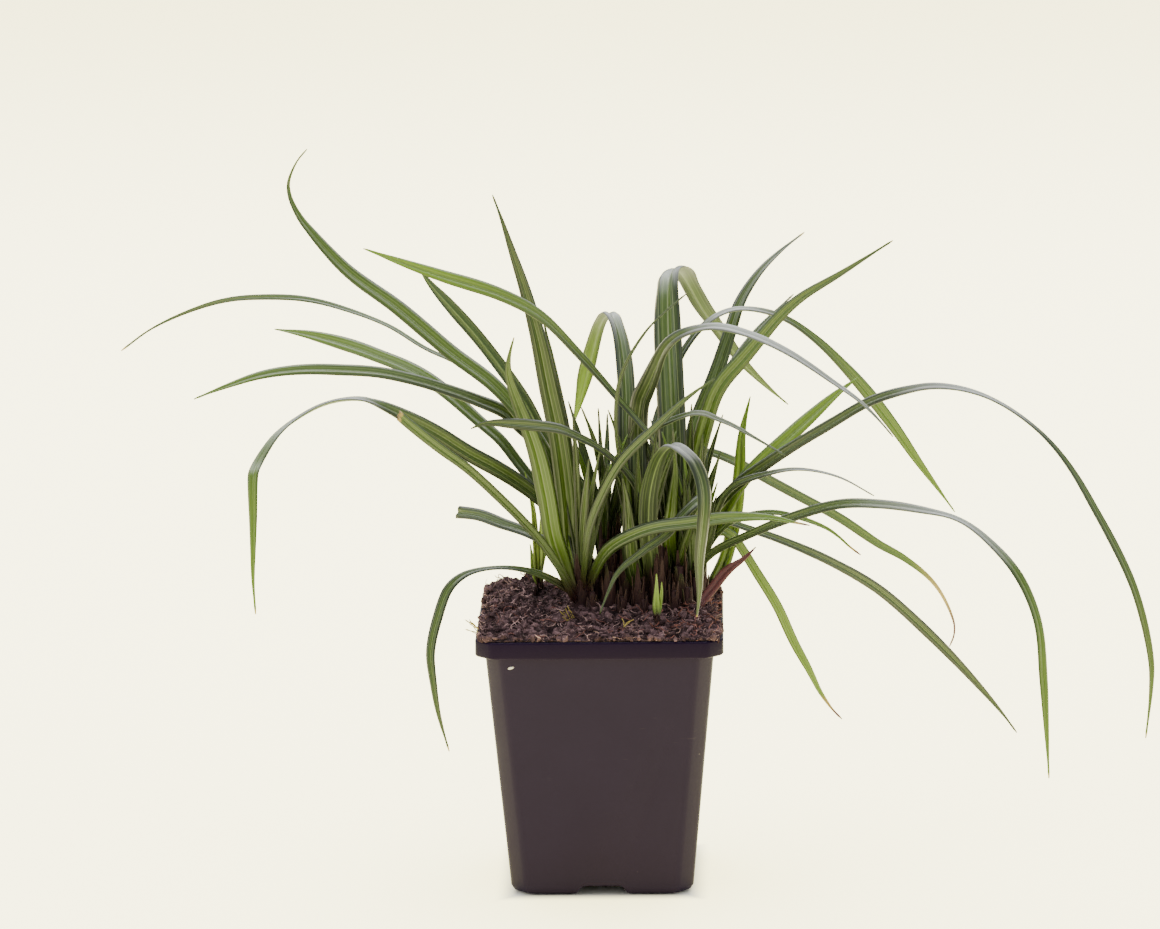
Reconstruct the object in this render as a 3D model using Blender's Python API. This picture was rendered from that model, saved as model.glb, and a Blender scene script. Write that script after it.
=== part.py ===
"""A carex sedge in a square nursery pot: the pot, the potting soil and each leafy shoot."""

import math

import bmesh
import bpy
import numpy as np
from mathutils import Vector, noise

# Pot, metres: a tapered square pot with cut corners and a stepped rim
POT_HEIGHT = 0.098
RIM_WIDTH = 0.090
RIM_HEIGHT = 0.0063
RIM_CORNER = 0.0062
WALL_TOP_WIDTH = 0.083
BASE_WIDTH = 0.0665
CORNER_CUT = 0.0056
WALL = 0.0014
FLOOR = 0.0056
FOOT_ROUND = 0.0026
CORNER_POINTS = 4
GAP = 0.0003

# Air channels under the pot, with a drain hole at the inner end of each
CHANNEL_WIDTH = 0.0165
CHANNEL_HEIGHT = 0.0038
CHANNEL_INNER = 0.0125
DRAIN_RADIUS = 0.0042
DRAIN_OFFSET = 0.0185
DRAIN_SIDES = 16

# Soil, metres
SOIL_EDGE = 0.0974
SOIL_MOUND = 0.0022
CRUMB_HEIGHT = 0.0011
CRUMB_SIZE = 0.0046
SOIL_RINGS = 11
SOIL_SIDE_POINTS = 13

# Shoots, metres
SHOOT_SIDES = 10
SHOOT_BURIED = 0.011
HOLE_DEPTH = 0.0115
LEAF_START = 0.0035
LEAF_STEP = 0.0125
LEAF_THICKNESS = 0.0012
LEAF_FOLD = 0.17
NARROWEST = 0.0007

# Leaf routes are drawn, in millimetres, on a picture plane that squarely faces an eye in front of
# the pot. The depth moves a point along its line of sight, so that the drawing stays true.
MM = 0.001
EYE = np.array([44.8, -2199.6, 614.1]) * MM
EYE_TURN = 0.0236
EYE_DIP = 0.2060
EYE_TILT = 0.0115
PICTURE_DISTANCE = 2282.6 * MM
PICTURE_MIDDLE = np.array([-7.4, 153.7]) * MM
ROUTE_STEP = 5.0 * MM
CLEAR = 3.3 * MM
CLEAR_WITHIN = 1.9 * MM
ROOT_FREE = 24.0 * MM
PUSH_ROUNDS = 60
LOOK_AGAIN = 10
NEARBY = 10.0 * MM
PUSH_GAIN = 1.6
PUSH_MOST = 1.2 * MM

# Each shoot: where it stands (x, y), its radius at the soil, the height of its sheath, all in
# millimetres, then its leaves. Each leaf: its name, its width, the share of its length where it
# starts to narrow, and points of its route from the base to the tip: across, depth, height, and
# how much of its upper face it turns to the eye, from 1 through 0, edge on, to -1, its underside.
SHOOTS = {
    "shoot_left": ((-7, 0), 4.6, 17, [
        ("tall_left", 6.2, 0.62, [
            (-10, 2, 118, 0.5), (-14, 3, 140, 0.6), (-19, 3, 156, 0.7), (-37, 7, 181, 0.85),
            (-56, 14, 196, 0.9), (-75, 22, 212, 0.92), (-94, 30, 226, 0.88), (-108, 36, 241, 0.85),
            (-113, 39, 248, 0.6), (-116, 41, 257, 0.45), (-113, 42, 266, 0.5),
            (-109, 42, 271, 0.6)]),
        ("broad_upright", 8.2, 0.35, [
            (-11, 2, 125, 0.9), (-12, 1, 140, 0.95), (-15, 0, 163, 0.95), (-19, -1, 182, 0.95),
            (-23, -1, 201, 0.95), (-28, -1, 219, 0.95), (-33, -2, 234, 0.95), (-37, -2, 246, 0.95),
            (-40, -2, 254, 0.95)]),
        ("behind_upright", 5.6, 0.5, [
            (-9, 4, 118, 0.8), (-11, 5, 140, 0.9), (-13, 6, 163, 0.9), (-16, 7, 181, 0.9),
            (-19, 8, 198, 0.9), (-21, 8, 207, 0.9)]),
        ("front_broad", 7.6, 0.45, [
            (-9, -3, 105, 0.8), (-13, -5, 115, 0.9), (-17, -8, 126, 0.95), (-20, -11, 143, 0.95),
            (-24, -14, 160, 0.95), (-31, -17, 178, 0.9), (-34, -19, 187, 0.9), (-34, -20, 193, 0.9),
            (-32, -21, 201, 0.9)]),
        ("torn_left", 3.9, 1.0, [
            (-9, -4, 105, 0.7), (-13, -8, 112, 0.75), (-21, -13, 124, 0.8), (-27, -17, 131, 0.8),
            (-38, -25, 142, 0.85), (-49, -33, 152, 0.85), (-60, -42, 160, 0.9),
            (-69, -49, 167, 0.9), (-75, -54, 172, 0.8)]),
        ("cut_left", 5.0, 1.0, [
            (-10, 3, 107, 0.5), (-17, 7, 122, 0.6), (-26, 12, 128, 0.7), (-37, 18, 132, 0.85),
            (-45, 23, 135, 0.9), (-53, 28, 136, 0.95)]),
        ("low_hanging_left", 3.9, 0.6, [
            (-10, -3, 106, 0.9), (-20, -7, 112, 0.8), (-31, -12, 115, 0.3), (-42, -18, 115, 0.1),
            (-50, -22, 113, 0.5), (-56, -26, 108, 0.9), (-60, -30, 98, 0.95), (-63, -34, 84, 0.9),
            (-62, -37, 73, 0.9), (-60, -39, 61, 0.9), (-56, -40, 47, 0.9)]),
        ("front_slant", 3.6, 0.6, [
            (-6, -6, 114, 0.6), (-4, -10, 130, 0.8), (1, -13, 143, 0.9), (8, -17, 155, 0.9),
            (20, -22, 167, 0.9), (32, -26, 178, 0.9), (43, -30, 186, 0.9)]),
        ("front_thin", 3.2, 0.6, [
            (-4, -3, 118, 0.6), (0, -6, 137, 0.8), (7, -12, 154, 0.8), (17, -17, 165, 0.7),
            (26, -21, 170, 0.6), (37, -27, 173, 0.6), (43, -30, 171, 0.7), (50, -34, 168, 0.7),
            (57, -38, 164, 0.8), (69, -43, 157, 0.8)]),
        ("front_low_right", 5.0, 0.62, [
            (-2, -6, 114, 0.8), (2, -11, 121, 0.9), (7, -15, 125, 0.95), (19, -22, 130, 0.95),
            (33, -28, 132, 0.95), (48, -34, 134, 0.9), (63, -40, 134, 0.8), (73, -44, 132, 0.8),
            (78, -46, 131, 0.7)]),
    ]),
    "shoot_left_back": ((2, 20), 4.6, 17, [
        ("long_drooping_left", 6.2, 0.6, [
            (-4, 18, 118, 0.7), (-12, 15, 130, 0.8), (-21, 11, 140, 0.9), (-30, 7, 147, 0.9),
            (-38, 2, 152, 0.95), (-49, -5, 158, 0.95), (-60, -13, 165, 0.95), (-71, -22, 171, 0.8),
            (-82, -30, 176, 0.5), (-89, -36, 178, 0.1), (-100, -46, 177, 0),
            (-111, -60, 172, 0), (-121, -72, 164, 0.3), (-128, -82, 153, 0.75),
            (-129, -86, 150, 0.9), (-129, -91, 133, 0.9), (-129, -94, 122, 0.9),
            (-129, -96, 111, 0.9), (-128, -98, 98, 0.9)]),
        ("long_level_left", 5.8, 0.72, [
            (-5, 18, 118, 0.6), (-15, 17, 148, 0.7), (-22, 15, 161, 0.8), (-30, 13, 168, 0.8),
            (-35, 11, 173, 0.8), (-44, 8, 177, 0.75), (-58, 3, 182, 0.7), (-72, -4, 186, 0.7),
            (-82, -9, 188, 0.7), (-97, -17, 189, 0.7), (-112, -25, 189, 0.7),
            (-126, -33, 187, 0.75), (-141, -41, 182, 0.8), (-151, -45, 178, 0.8)]),
        ("back_level_left", 5.8, 0.78, [
            (-4, 20, 114, 0.6), (-13, 21, 131, 0.6), (-22, 24, 144, 0.6), (-30, 28, 154, 0.65),
            (-37, 31, 163, 0.7), (-45, 35, 170, 0.75), (-54, 40, 178, 0.8), (-63, 46, 185, 0.85),
            (-72, 53, 190, 0.9), (-82, 61, 194, 0.9), (-93, 70, 198, 0.9), (-108, 84, 202, 0.9),
            (-121, 96, 204, 0.8)]),
        ("thin_far_left", 3.2, 0.55, [
            (-4, 20, 118, 0.7), (-15, 24, 152, 0.7), (-37, 31, 181, 0.6), (-52, 39, 191, 0.5),
            (-65, 46, 197, 0.4), (-78, 54, 205, 0.4), (-93, 64, 211, 0.5), (-108, 74, 215, 0.7),
            (-122, 84, 216, 0.85), (-138, 93, 215, 0.9), (-152, 102, 211, 0.9),
            (-167, 110, 204, 0.9), (-178, 115, 196, 0.8)]),
        ("underside_left", 5.4, 0.82, [
            (3, 20, 118, -0.6), (2, 21, 129, -0.8), (-7, 24, 145, -0.85), (-12, 26, 153, -0.85),
            (-20, 29, 162, -0.85), (-25, 32, 172, -0.9), (-29, 34, 179, -0.9), (-39, 41, 193, -0.9),
            (-47, 46, 203, -0.9), (-56, 51, 213, -0.9), (-64, 57, 222, -0.9),
            (-68, 60, 228, -0.9)]),
        ("short_centre", 4.6, 0.35, [
            (2, 17, 118, 0.9), (2, 15, 135, 0.9), (1, 13, 150, 0.9), (-3, 11, 165, 0.9),
            (-7, 10, 175, 0.9)]),
        ("hidden_upright", 5.0, 0.5, [
            (-6, 24, 120, 0.8), (-15, 36, 163, 0.9), (-21, 52, 195, 0.9), (-26, 66, 213, 0.9),
            (-30, 74, 225, 0.9)]),
        ("low_back_left", 5.0, 0.55, [
            (-4, 28, 118, 0.9), (-12, 44, 139, 0.6), (-16, 64, 152, 0.1), (-17, 88, 150, -0.5),
            (-15, 112, 136, -0.7), (-13, 128, 121, -0.8)]),
        ("hidden_left", 3.8, 0.5, [
            (-12, 24, 135, 0.8), (-19, 32, 156, 0.85), (-37, 50, 181, 0.9), (-56, 70, 196, 0.9),
            (-75, 88, 212, 0.9), (-93, 104, 225, 0.9)]),
    ]),
    "shoot_middle": ((15, 5), 4.8, 18, [
        ("front_crossing", 4.3, 0.8, [
            (17, 3, 118, 0.6), (17, -1, 137, 0.7), (14, -4, 145, 0.7), (8, -9, 153, 0.45),
            (-2, -16, 161, 0.5), (-8, -20, 164, 0.6), (-15, -24, 167, 0.75), (-22, -27, 168, 0.9),
            (-35, -31, 169, 1), (-43, -33, 169, 1), (-48, -34, 167, 1)]),
        ("back_arch", 7.0, 0.82, [
            (12, 8, 118, 0.9), (11, 11, 140, 0.9), (10, 15, 163, 0.9), (10, 21, 178, 0.9),
            (9, 32, 193, 0.9), (7, 42, 204, 0.6), (4, 52, 210, 0.1), (1, 60, 208, -0.3),
            (-1, 67, 204, -0.6), (-4, 76, 193, -0.85), (-7, 84, 180, -0.95),
            (-10, 91, 168, -0.95)]),
        ("broad_front_arch", 7.8, 0.5, [
            (15, 4, 126, 0.9), (14, 4, 148, 0.95), (14, 4, 163, 0.95), (15, 3, 177, 0.95),
            (18, 1, 184, 0.85), (21, -2, 191, 0.7), (24, -6, 197, 0.5), (30, -13, 202, 0.35),
            (43, -27, 205, 0.3), (56, -39, 202, 0.35), (71, -52, 195, 0.4), (86, -64, 185, 0.45),
            (97, -74, 177, 0.55), (104, -80, 170, 0.6), (109, -84, 164, 0.6)]),
        ("short_slant", 5.0, 0.3, [
            (11, 0, 126, 0.9), (10, -1, 144, 0.9), (9, 0, 155, 0.9), (6, 2, 166, 0.9),
            (3, 3, 174, 0.9)]),
        ("short_broad", 7.4, 0.3, [
            (12, -2, 118, 0.9), (11, -5, 129, 0.95), (10, -6, 140, 0.95), (8, -7, 150, 0.95)]),
        ("thread", 1.9, 0.5, [
            (9, 1, 145, 0.8), (6, -3, 170, 0.8), (8, -6, 187, 0.8), (17, -10, 203, 0.8),
            (26, -13, 212, 0.8), (32, -14, 217, 0.8)]),
        ("front_fold", 7.4, 0.66, [
            (19, 1, 113, -0.9), (18, -3, 126, -0.95), (18, -8, 140, -0.9), (20, -14, 151, -0.8),
            (23, -21, 158, -0.4), (27, -27, 161, 0.1), (31, -33, 159, 0.5), (35, -38, 155, 0.6),
            (38, -42, 148, 0.65), (39, -45, 140, 0.68), (38, -47, 128, 0.7), (37, -47, 118, 0.75),
            (37, -47, 106, 0.8), (36, -46, 97, 0.85)]),
        ("low_back_middle", 5.2, 0.5, [
            (16, 14, 120, 0.9), (17, 32, 146, 0.6), (17, 58, 157, 0.1), (17, 88, 150, -0.5),
            (17, 112, 135, -0.7), (17, 130, 118, -0.8)]),
    ]),
    "shoot_centre_right": ((28, 15), 4.8, 18, [
        ("centre_blade", 10.4, 0.5, [
            (27, 15, 118, 0.95), (27, 17, 140, 0.98), (27, 20, 163, 0.98), (26, 26, 185, 0.98),
            (25, 36, 207, 0.95), (25, 45, 220, 0.7), (26, 54, 225, 0.2), (30, 64, 226, -0.3),
            (33, 74, 222, -0.6), (38, 84, 213, -0.8), (45, 95, 203, -0.8), (53, 106, 192, -0.8),
            (63, 116, 182, -0.8), (70, 122, 176, -0.8)]),
        ("right_back_arch", 5.8, 0.72, [
            (23, 17, 133, 0.6), (20, 24, 159, 0.5), (21, 28, 170, 0.5), (25, 33, 181, 0.45),
            (30, 39, 194, 0.4), (38, 47, 205, 0.3), (48, 56, 211, 0.2), (60, 65, 211, 0.3),
            (71, 73, 207, 0.4), (82, 78, 199, 0.5), (93, 83, 188, 0.7), (100, 86, 180, 0.85),
            (110, 90, 167, 0.95), (119, 93, 154, 0.95), (127, 95, 143, 0.9), (132, 96, 136, 0.85)]),
        ("left_crossing", 5.8, 0.78, [
            (25, 11, 135, 0.2), (22, 8, 158, 0.2), (18, 6, 165, 0.25), (7, 1, 178, 0.35),
            (-7, -6, 194, 0.5), (-22, -13, 209, 0.65), (-37, -18, 217, 0.8), (-59, -24, 224, 0.9),
            (-74, -27, 229, 0.9), (-88, -30, 234, 0.9)]),
        ("right_low_arch", 4.2, 0.7, [
            (30, 15, 118, 0.5), (33, 12, 130, 0.5), (43, 10, 133, 0.5), (58, 16, 129, 0.6),
            (74, 26, 123, 0.7), (89, 38, 116, 0.8), (104, 50, 107, 0.9), (119, 61, 94, 0.9),
            (134, 70, 79, 0.9), (149, 78, 62, 0.9), (155, 81, 54, 0.9)]),
        ("front_low_left", 4.2, 0.5, [
            (30, 8, 118, 0.8), (34, 2, 131, 0.7), (37, -5, 139, 0.4), (38, -10, 141, 0.1),
            (35, -14, 139, 0.5), (30, -17, 134, 0.85), (24, -19, 127, 0.95), (18, -21, 123, 0.95),
            (13, -22, 119, 0.95), (7, -24, 114, 0.9), (3, -26, 106, 0.9), (0, -28, 98, 0.9)]),
        ("short_upright", 6.0, 0.4, [
            (26, 10, 126, 0.9), (27, 8, 140, 0.9), (28, 7, 153, 0.9), (27, 7, 160, 0.9)]),
        ("short_side", 5.0, 0.4, [
            (31, 11, 126, 0.9), (32, 9, 140, 0.9), (31, 9, 152, 0.9)]),
        ("low_back_centre", 5.6, 0.5, [
            (28, 24, 120, 0.9), (28, 44, 150, 0.5), (29, 70, 160, 0), (30, 98, 152, -0.5),
            (32, 122, 136, -0.7), (33, 138, 120, -0.8)]),
        ("hidden_centre", 5.4, 0.5, [
            (27, 21, 120, 0.9), (27, 34, 160, 0.9), (26, 48, 190, 0.8), (25, 58, 206, 0.8),
            (24, 64, 214, 0.8)]),
    ]),
    "shoot_right_back": ((33, 28), 4.4, 16, [
        ("back_spear", 6.4, 0.35, [
            (33, 31, 122, 0.8), (33, 33, 140, 0.9), (35, 36, 165, 0.95), (37, 40, 172, 0.95),
            (43, 46, 187, 0.95), (48, 55, 202, 0.95), (52, 64, 214, 0.95), (59, 76, 225, 0.95),
            (67, 88, 233, 0.9), (76, 99, 240, 0.9)]),
        ("right_spear", 6.8, 0.3, [
            (35, 28, 125, 0.8), (35, 26, 140, 0.9), (36, 25, 155, 0.95), (39, 22, 168, 0.95),
            (44, 20, 182, 0.95), (54, 18, 194, 0.95), (60, 17, 201, 0.95), (67, 15, 209, 0.95),
            (75, 12, 216, 0.95), (90, 8, 225, 0.95), (109, 4, 237, 0.95)]),
        ("yellow_right", 5.4, 0.7, [
            (39, 27, 122, 0.7), (44, 24, 132, 0.8), (50, 21, 143, 0.9), (56, 20, 151, 0.9),
            (61, 20, 156, 0.9), (70, 23, 164, 0.95), (80, 28, 173, 0.95), (88, 32, 180, 0.95),
            (96, 36, 186, 0.95)]),
        ("great_right_arch", 5.2, 0.72, [
            (39, 24, 129, 0.8), (42, 20, 136, 0.85), (52, 9, 147, 0.85), (59, 3, 152, 0.8),
            (71, -6, 160, 0.75), (86, -15, 169, 0.7), (100, -25, 177, 0.65), (112, -33, 181, 0.6),
            (125, -39, 183, 0.4), (141, -47, 180, 0.2), (156, -54, 172, 0.1), (171, -60, 158, 0.25),
            (186, -65, 134, 0.5), (199, -69, 107, 0.6), (205, -71, 81, 0.85), (205, -72, 70, 0.85),
            (203, -72, 52, 0.85)]),
        ("right_back_low", 4.4, 0.56, [
            (35, 35, 133, 0.8), (35, 43, 151, 0.6), (39, 49, 158, 0.7), (50, 54, 155, 0.8),
            (61, 59, 149, 0.8), (74, 66, 142, 0.8), (89, 74, 134, 0.8), (104, 82, 124, 0.8),
            (113, 87, 119, 0.7), (123, 93, 111, 0.6), (129, 98, 102, 0.6), (132, 102, 92, 0.7),
            (130, 104, 86, 0.7)]),
        ("right_small_low", 3.8, 0.6, [
            (38, 29, 118, 0.7), (42, 27, 128, 0.5), (47, 27, 129, 0.7), (51, 28, 125, 0.9),
            (58, 30, 114, 0.95), (66, 33, 101, 0.95), (72, 36, 88, 0.95), (78, 38, 77, 0.95),
            (82, 40, 69, 0.9), (87, 41, 62, 0.9), (90, 42, 59, 0.9)]),
        ("low_back_right", 4.2, 0.5, [
            (30, 40, 118, 0.9), (33, 58, 141, 0.5), (36, 80, 149, 0), (38, 104, 142, -0.4),
            (38, 124, 126, -0.5), (38, 136, 113, -0.6)]),
        ("hidden_right", 4.2, 0.45, [
            (36, 38, 140, 0.9), (39, 50, 168, 0.9), (44, 62, 182, 0.9), (57, 82, 202, 0.9),
            (72, 98, 217, 0.9)]),
    ]),
    "shoot_right": ((35, 9), 4.0, 14, [
        ("front_right_arch", 4.6, 0.75, [
            (35, 6, 113, 0.8), (42, 2, 121, 0.7), (54, -7, 127, 0.6), (71, -19, 134, 0.75),
            (89, -32, 139, 0.75), (104, -43, 139, 0.7), (119, -54, 137, 0.6), (134, -66, 133, 0.25),
            (145, -76, 125, 0.5), (156, -86, 112, 0.7), (163, -92, 95, 0.5), (165, -96, 74, 0.85),
            (166, -99, 57, 0.85), (167, -101, 37, 0.85)]),
        ("thin_right", 3.2, 0.5, [
            (41, 4, 126, 0.7), (45, 0, 140, 0.8), (50, -4, 146, 0.8), (61, -11, 150, 0.6),
            (74, -20, 152, 0.4), (89, -29, 149, 0.4), (102, -36, 142, 0.5)]),
        ("small_right", 2.6, 0.5, [
            (41, 7, 124, 0.7), (50, 5, 133, 0.7), (63, 3, 136, 0.6), (74, 2, 134, 0.8),
            (86, 1, 129, 0.9), (93, -1, 123, 0.9), (97, -2, 120, 0.9)]),
    ]),
    "small_shoot": ((-23, 23), 2.2, 12, [
        ("tiny_tall", 2.6, 0.35, [
            (-23, 22, 112, 0.9), (-24, 20, 127, 0.9), (-25, 18, 138, 0.9), (-28, 16, 151, 0.9)]),
        ("tiny_middle", 3.4, 0.4, [
            (-23, 23, 112, 0.9), (-22, 23, 124, 0.9), (-22, 22, 134, 0.9)]),
        ("tiny_left", 2.4, 0.4, [
            (-24, 23, 112, 0.9), (-26, 23, 124, 0.9)]),
        ("tiny_right", 2.0, 0.4, [
            (-22, 24, 114, 0.8), (-20, 25, 123, 0.8), (-18, 26, 129, 0.8)]),
    ]),
    "spear_shoot": ((36, 35), 1.7, 14, [
        ("new_spear", 5.8, 0.5, [
            (39, 36, 106, 0.8), (46, 36, 117, 0.8), (49, 36, 128, 0.9), (51, 36, 140, 0.9),
            (52, 37, 152, 0.9), (53, 38, 166, 0.9), (56, 40, 179, 0.9)]),
    ]),
    "young_sprout": ((21, -25), 2.0, 7, [
        ("sprout_tall", 3.2, 0.3, [
            (21, -25, 101, 0.9), (21, -25, 107, 0.9), (21, -25, 113, 0.9)]),
        ("sprout_low", 2.6, 0.3, [
            (22, -24, 101, 0.9), (23, -24, 106, 0.9), (23, -24, 110, 0.9)]),
    ]),
    "dry_sheath": ((36, -9), 2.2, 6, [
        ("torn_sheath", 4.0, 0.8, [
            (39, -6, 104, 0.9), (43, -4, 109, 0.9), (47, -2, 114, 0.9), (54, 1, 119, 0.9),
            (58, 3, 123, 0.9)]),
    ]),
}


def clear_scene():
    for obj in list(bpy.data.objects):
        bpy.data.objects.remove(obj, do_unlink=True)
    for mesh in list(bpy.data.meshes):
        bpy.data.meshes.remove(mesh)


def plain_material(name, colour, roughness):
    material = bpy.data.materials.new(name)
    material.use_nodes = True
    shader = material.node_tree.nodes["Principled BSDF"]
    shader.inputs["Base Color"].default_value = (*colour, 1.0)
    shader.inputs["Roughness"].default_value = roughness
    shader.inputs["Metallic"].default_value = 0.0
    return material


def mesh_object(name, points, faces, material=None):
    mesh = bpy.data.meshes.new(name)
    mesh.from_pydata([tuple(point) for point in points], [], faces)
    mesh.validate()
    obj = bpy.data.objects.new(name, mesh)
    bpy.context.scene.collection.objects.link(obj)
    if material:
        mesh.materials.append(material)
    return obj


def apply_modifiers(obj):
    bpy.context.view_layer.update()
    evaluated = obj.evaluated_get(bpy.context.evaluated_depsgraph_get())
    finished = bpy.data.meshes.new_from_object(evaluated)
    obj.modifiers.clear()
    obj.data = finished


def boolean(obj, others, operation, solver="EXACT"):
    """Joins or cuts obj with the others, then removes them."""
    group = bpy.data.collections.new(obj.name + "_group")
    bpy.context.scene.collection.children.link(group)
    for other in others:
        for holder in other.users_collection:
            holder.objects.unlink(other)
        group.objects.link(other)
    modifier = obj.modifiers.new(operation.lower(), "BOOLEAN")
    modifier.operand_type = "COLLECTION"
    modifier.collection = group
    modifier.operation = operation
    modifier.solver = solver
    apply_modifiers(obj)
    for other in list(group.objects):
        bpy.data.objects.remove(other, do_unlink=True)
    bpy.data.collections.remove(group)


def square_ring(half, cut, height, side_points=0, bulge=0.0):
    """A square loop with cut corners, counter-clockwise; a bulge of 1 rounds the corners."""
    corner = []
    for step in range(CORNER_POINTS):
        share = step / (CORNER_POINTS - 1)
        turn = share * math.pi / 2
        straight = Vector((half - cut * share, half - cut * (1 - share)))
        rounded = Vector((half - cut * (1 - math.cos(turn)), half - cut * (1 - math.sin(turn))))
        corner.append(straight.lerp(rounded, bulge))
    loop = []
    for quarter in range(4):
        turn = quarter * math.pi / 2
        cosine, sine = math.cos(turn), math.sin(turn)
        turned = [Vector((p.x * cosine - p.y * sine, p.x * sine + p.y * cosine)) for p in corner]
        loop += turned
        following = corner[0]
        turn += math.pi / 2
        cosine, sine = math.cos(turn), math.sin(turn)
        end = Vector((following.x * cosine - following.y * sine, following.x * sine + following.y * cosine))
        for step in range(1, side_points + 1):
            loop.append(turned[-1].lerp(end, step / (side_points + 1)))
    return [Vector((p.x, p.y, height)) for p in loop]


def loft(name, rings, material):
    """One closed body through the rings, which run from the outside foot over the rim and back in."""
    count = len(rings[0])
    points = [point for ring in rings for point in ring]
    faces = [tuple(reversed(range(count)))]
    for ring in range(len(rings) - 1):
        for step in range(count):
            near, far = ring * count + step, ring * count + (step + 1) % count
            faces.append((near, far, far + count, near + count))
    faces.append(tuple(range(len(points) - count, len(points))))
    return mesh_object(name, points, faces, material)


def wall_half(height):
    """Half the pot's outer width at a height below the rim."""
    share = height / (POT_HEIGHT - RIM_HEIGHT)
    return (BASE_WIDTH + (WALL_TOP_WIDTH - BASE_WIDTH) * share) / 2


def build_pot(material):
    shelf = POT_HEIGHT - RIM_HEIGHT
    rim_half = RIM_WIDTH / 2
    inner_cut = CORNER_CUT - WALL / 2
    inner_rim_cut = RIM_CORNER - WALL / 2
    rings = [
        square_ring(wall_half(0) - FOOT_ROUND, CORNER_CUT, 0),
        square_ring(wall_half(0) - FOOT_ROUND * 0.3, CORNER_CUT, FOOT_ROUND * 0.3),
        square_ring(wall_half(FOOT_ROUND), CORNER_CUT, FOOT_ROUND),
        square_ring(wall_half(shelf), CORNER_CUT, shelf),
        square_ring(rim_half - 0.0004, RIM_CORNER, shelf, bulge=1),
        square_ring(rim_half, RIM_CORNER, shelf + 0.0006, bulge=1),
        square_ring(rim_half, RIM_CORNER, POT_HEIGHT - 0.0006, bulge=1),
        square_ring(rim_half - 0.0005, RIM_CORNER, POT_HEIGHT, bulge=1),
        square_ring(rim_half - WALL, inner_rim_cut, POT_HEIGHT, bulge=1),
        square_ring(rim_half - WALL, inner_rim_cut, shelf + WALL, bulge=1),
        square_ring(wall_half(shelf) - WALL, inner_cut, shelf + WALL),
        square_ring(wall_half(FLOOR) - WALL, inner_cut, FLOOR),
    ]
    pot = loft("pot", rings, material)
    cutters = []
    for side in range(4):
        turn = side * math.pi / 2
        outward = Vector((math.cos(turn), math.sin(turn), 0))
        length = BASE_WIDTH / 2 - CHANNEL_INNER + 0.01
        middle = outward * (CHANNEL_INNER + length / 2)
        bpy.ops.mesh.primitive_cube_add(size=1, location=middle, rotation=(0, 0, turn))
        channel = bpy.context.object
        channel.scale = (length, CHANNEL_WIDTH, CHANNEL_HEIGHT * 2)
        bpy.ops.object.transform_apply(location=False, rotation=False, scale=True)
        cutters.append(channel)
        bpy.ops.mesh.primitive_cylinder_add(
            vertices=DRAIN_SIDES, radius=DRAIN_RADIUS, depth=FLOOR * 3, location=outward * DRAIN_OFFSET
        )
        cutters.append(bpy.context.object)
    boolean(pot, cutters, "DIFFERENCE")
    return pot


def soil_height(x, y):
    """The soil surface: a low mound, level with the rim at the edge, with crumbs."""
    half = RIM_WIDTH / 2 - WALL - GAP
    reach = max(abs(x), abs(y)) / half
    crumbs = noise.noise(Vector((x, y, 0.31)) / CRUMB_SIZE)
    crumbs += 0.6 * noise.noise(Vector((x, y, 0.77)) / (CRUMB_SIZE * 0.45))
    return SOIL_EDGE + SOIL_MOUND * (1 - reach**3) + CRUMB_HEIGHT * crumbs * min(1, 3 * (1.15 - reach))


def build_soil(material):
    shelf = POT_HEIGHT - RIM_HEIGHT + WALL + GAP
    rim_half = RIM_WIDTH / 2 - WALL - GAP
    below = wall_half(POT_HEIGHT - RIM_HEIGHT) - WALL - GAP
    foot = wall_half(FLOOR) - WALL - GAP
    cut = CORNER_CUT - WALL / 2
    rim_cut = RIM_CORNER - WALL / 2
    points = SOIL_SIDE_POINTS
    rings = [
        square_ring(foot, cut, FLOOR + GAP, points),
        square_ring(below, cut, shelf, points),
        square_ring(rim_half, rim_cut, shelf, points, bulge=1),
    ]
    edge = square_ring(rim_half, rim_cut, SOIL_EDGE, points, bulge=1)
    for ring in range(SOIL_RINGS):
        share = 1 - ring / SOIL_RINGS
        flat = [(p.x * share, p.y * share) for p in edge]
        rings.append([Vector((x, y, soil_height(x, y))) for x, y in flat])
    soil = loft("soil", rings, material)
    holes = []
    for (x, y), radius, _, _ in SHOOTS.values():
        top = soil_height(x * MM, y * MM)
        bpy.ops.mesh.primitive_cylinder_add(
            vertices=SHOOT_SIDES,
            radius=(radius * MM + GAP) / math.cos(math.pi / SHOOT_SIDES),
            depth=2 * HOLE_DEPTH,
            location=(x * MM, y * MM, top),
        )
        holes.append(bpy.context.object)
    boolean(soil, holes, "DIFFERENCE")
    return soil


def sight_point(across, depth, height):
    """The point at this depth on the line from the eye through the drawn point."""
    sine, cosine = math.sin(EYE_TURN), math.cos(EYE_TURN)
    ahead = np.array([-sine * math.cos(EYE_DIP), cosine * math.cos(EYE_DIP), -math.sin(EYE_DIP)])
    right = np.array([cosine, sine, 0.0])
    up = np.cross(right, ahead)
    right, up = (
        math.cos(EYE_TILT) * right - math.sin(EYE_TILT) * up,
        math.sin(EYE_TILT) * right + math.cos(EYE_TILT) * up,
    )
    drawn = np.array([across, height]) - PICTURE_MIDDLE
    ray = ahead * PICTURE_DISTANCE + right * drawn[0] + up * drawn[1]
    return EYE + ray * (depth - EYE[1]) / ray[1]


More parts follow.
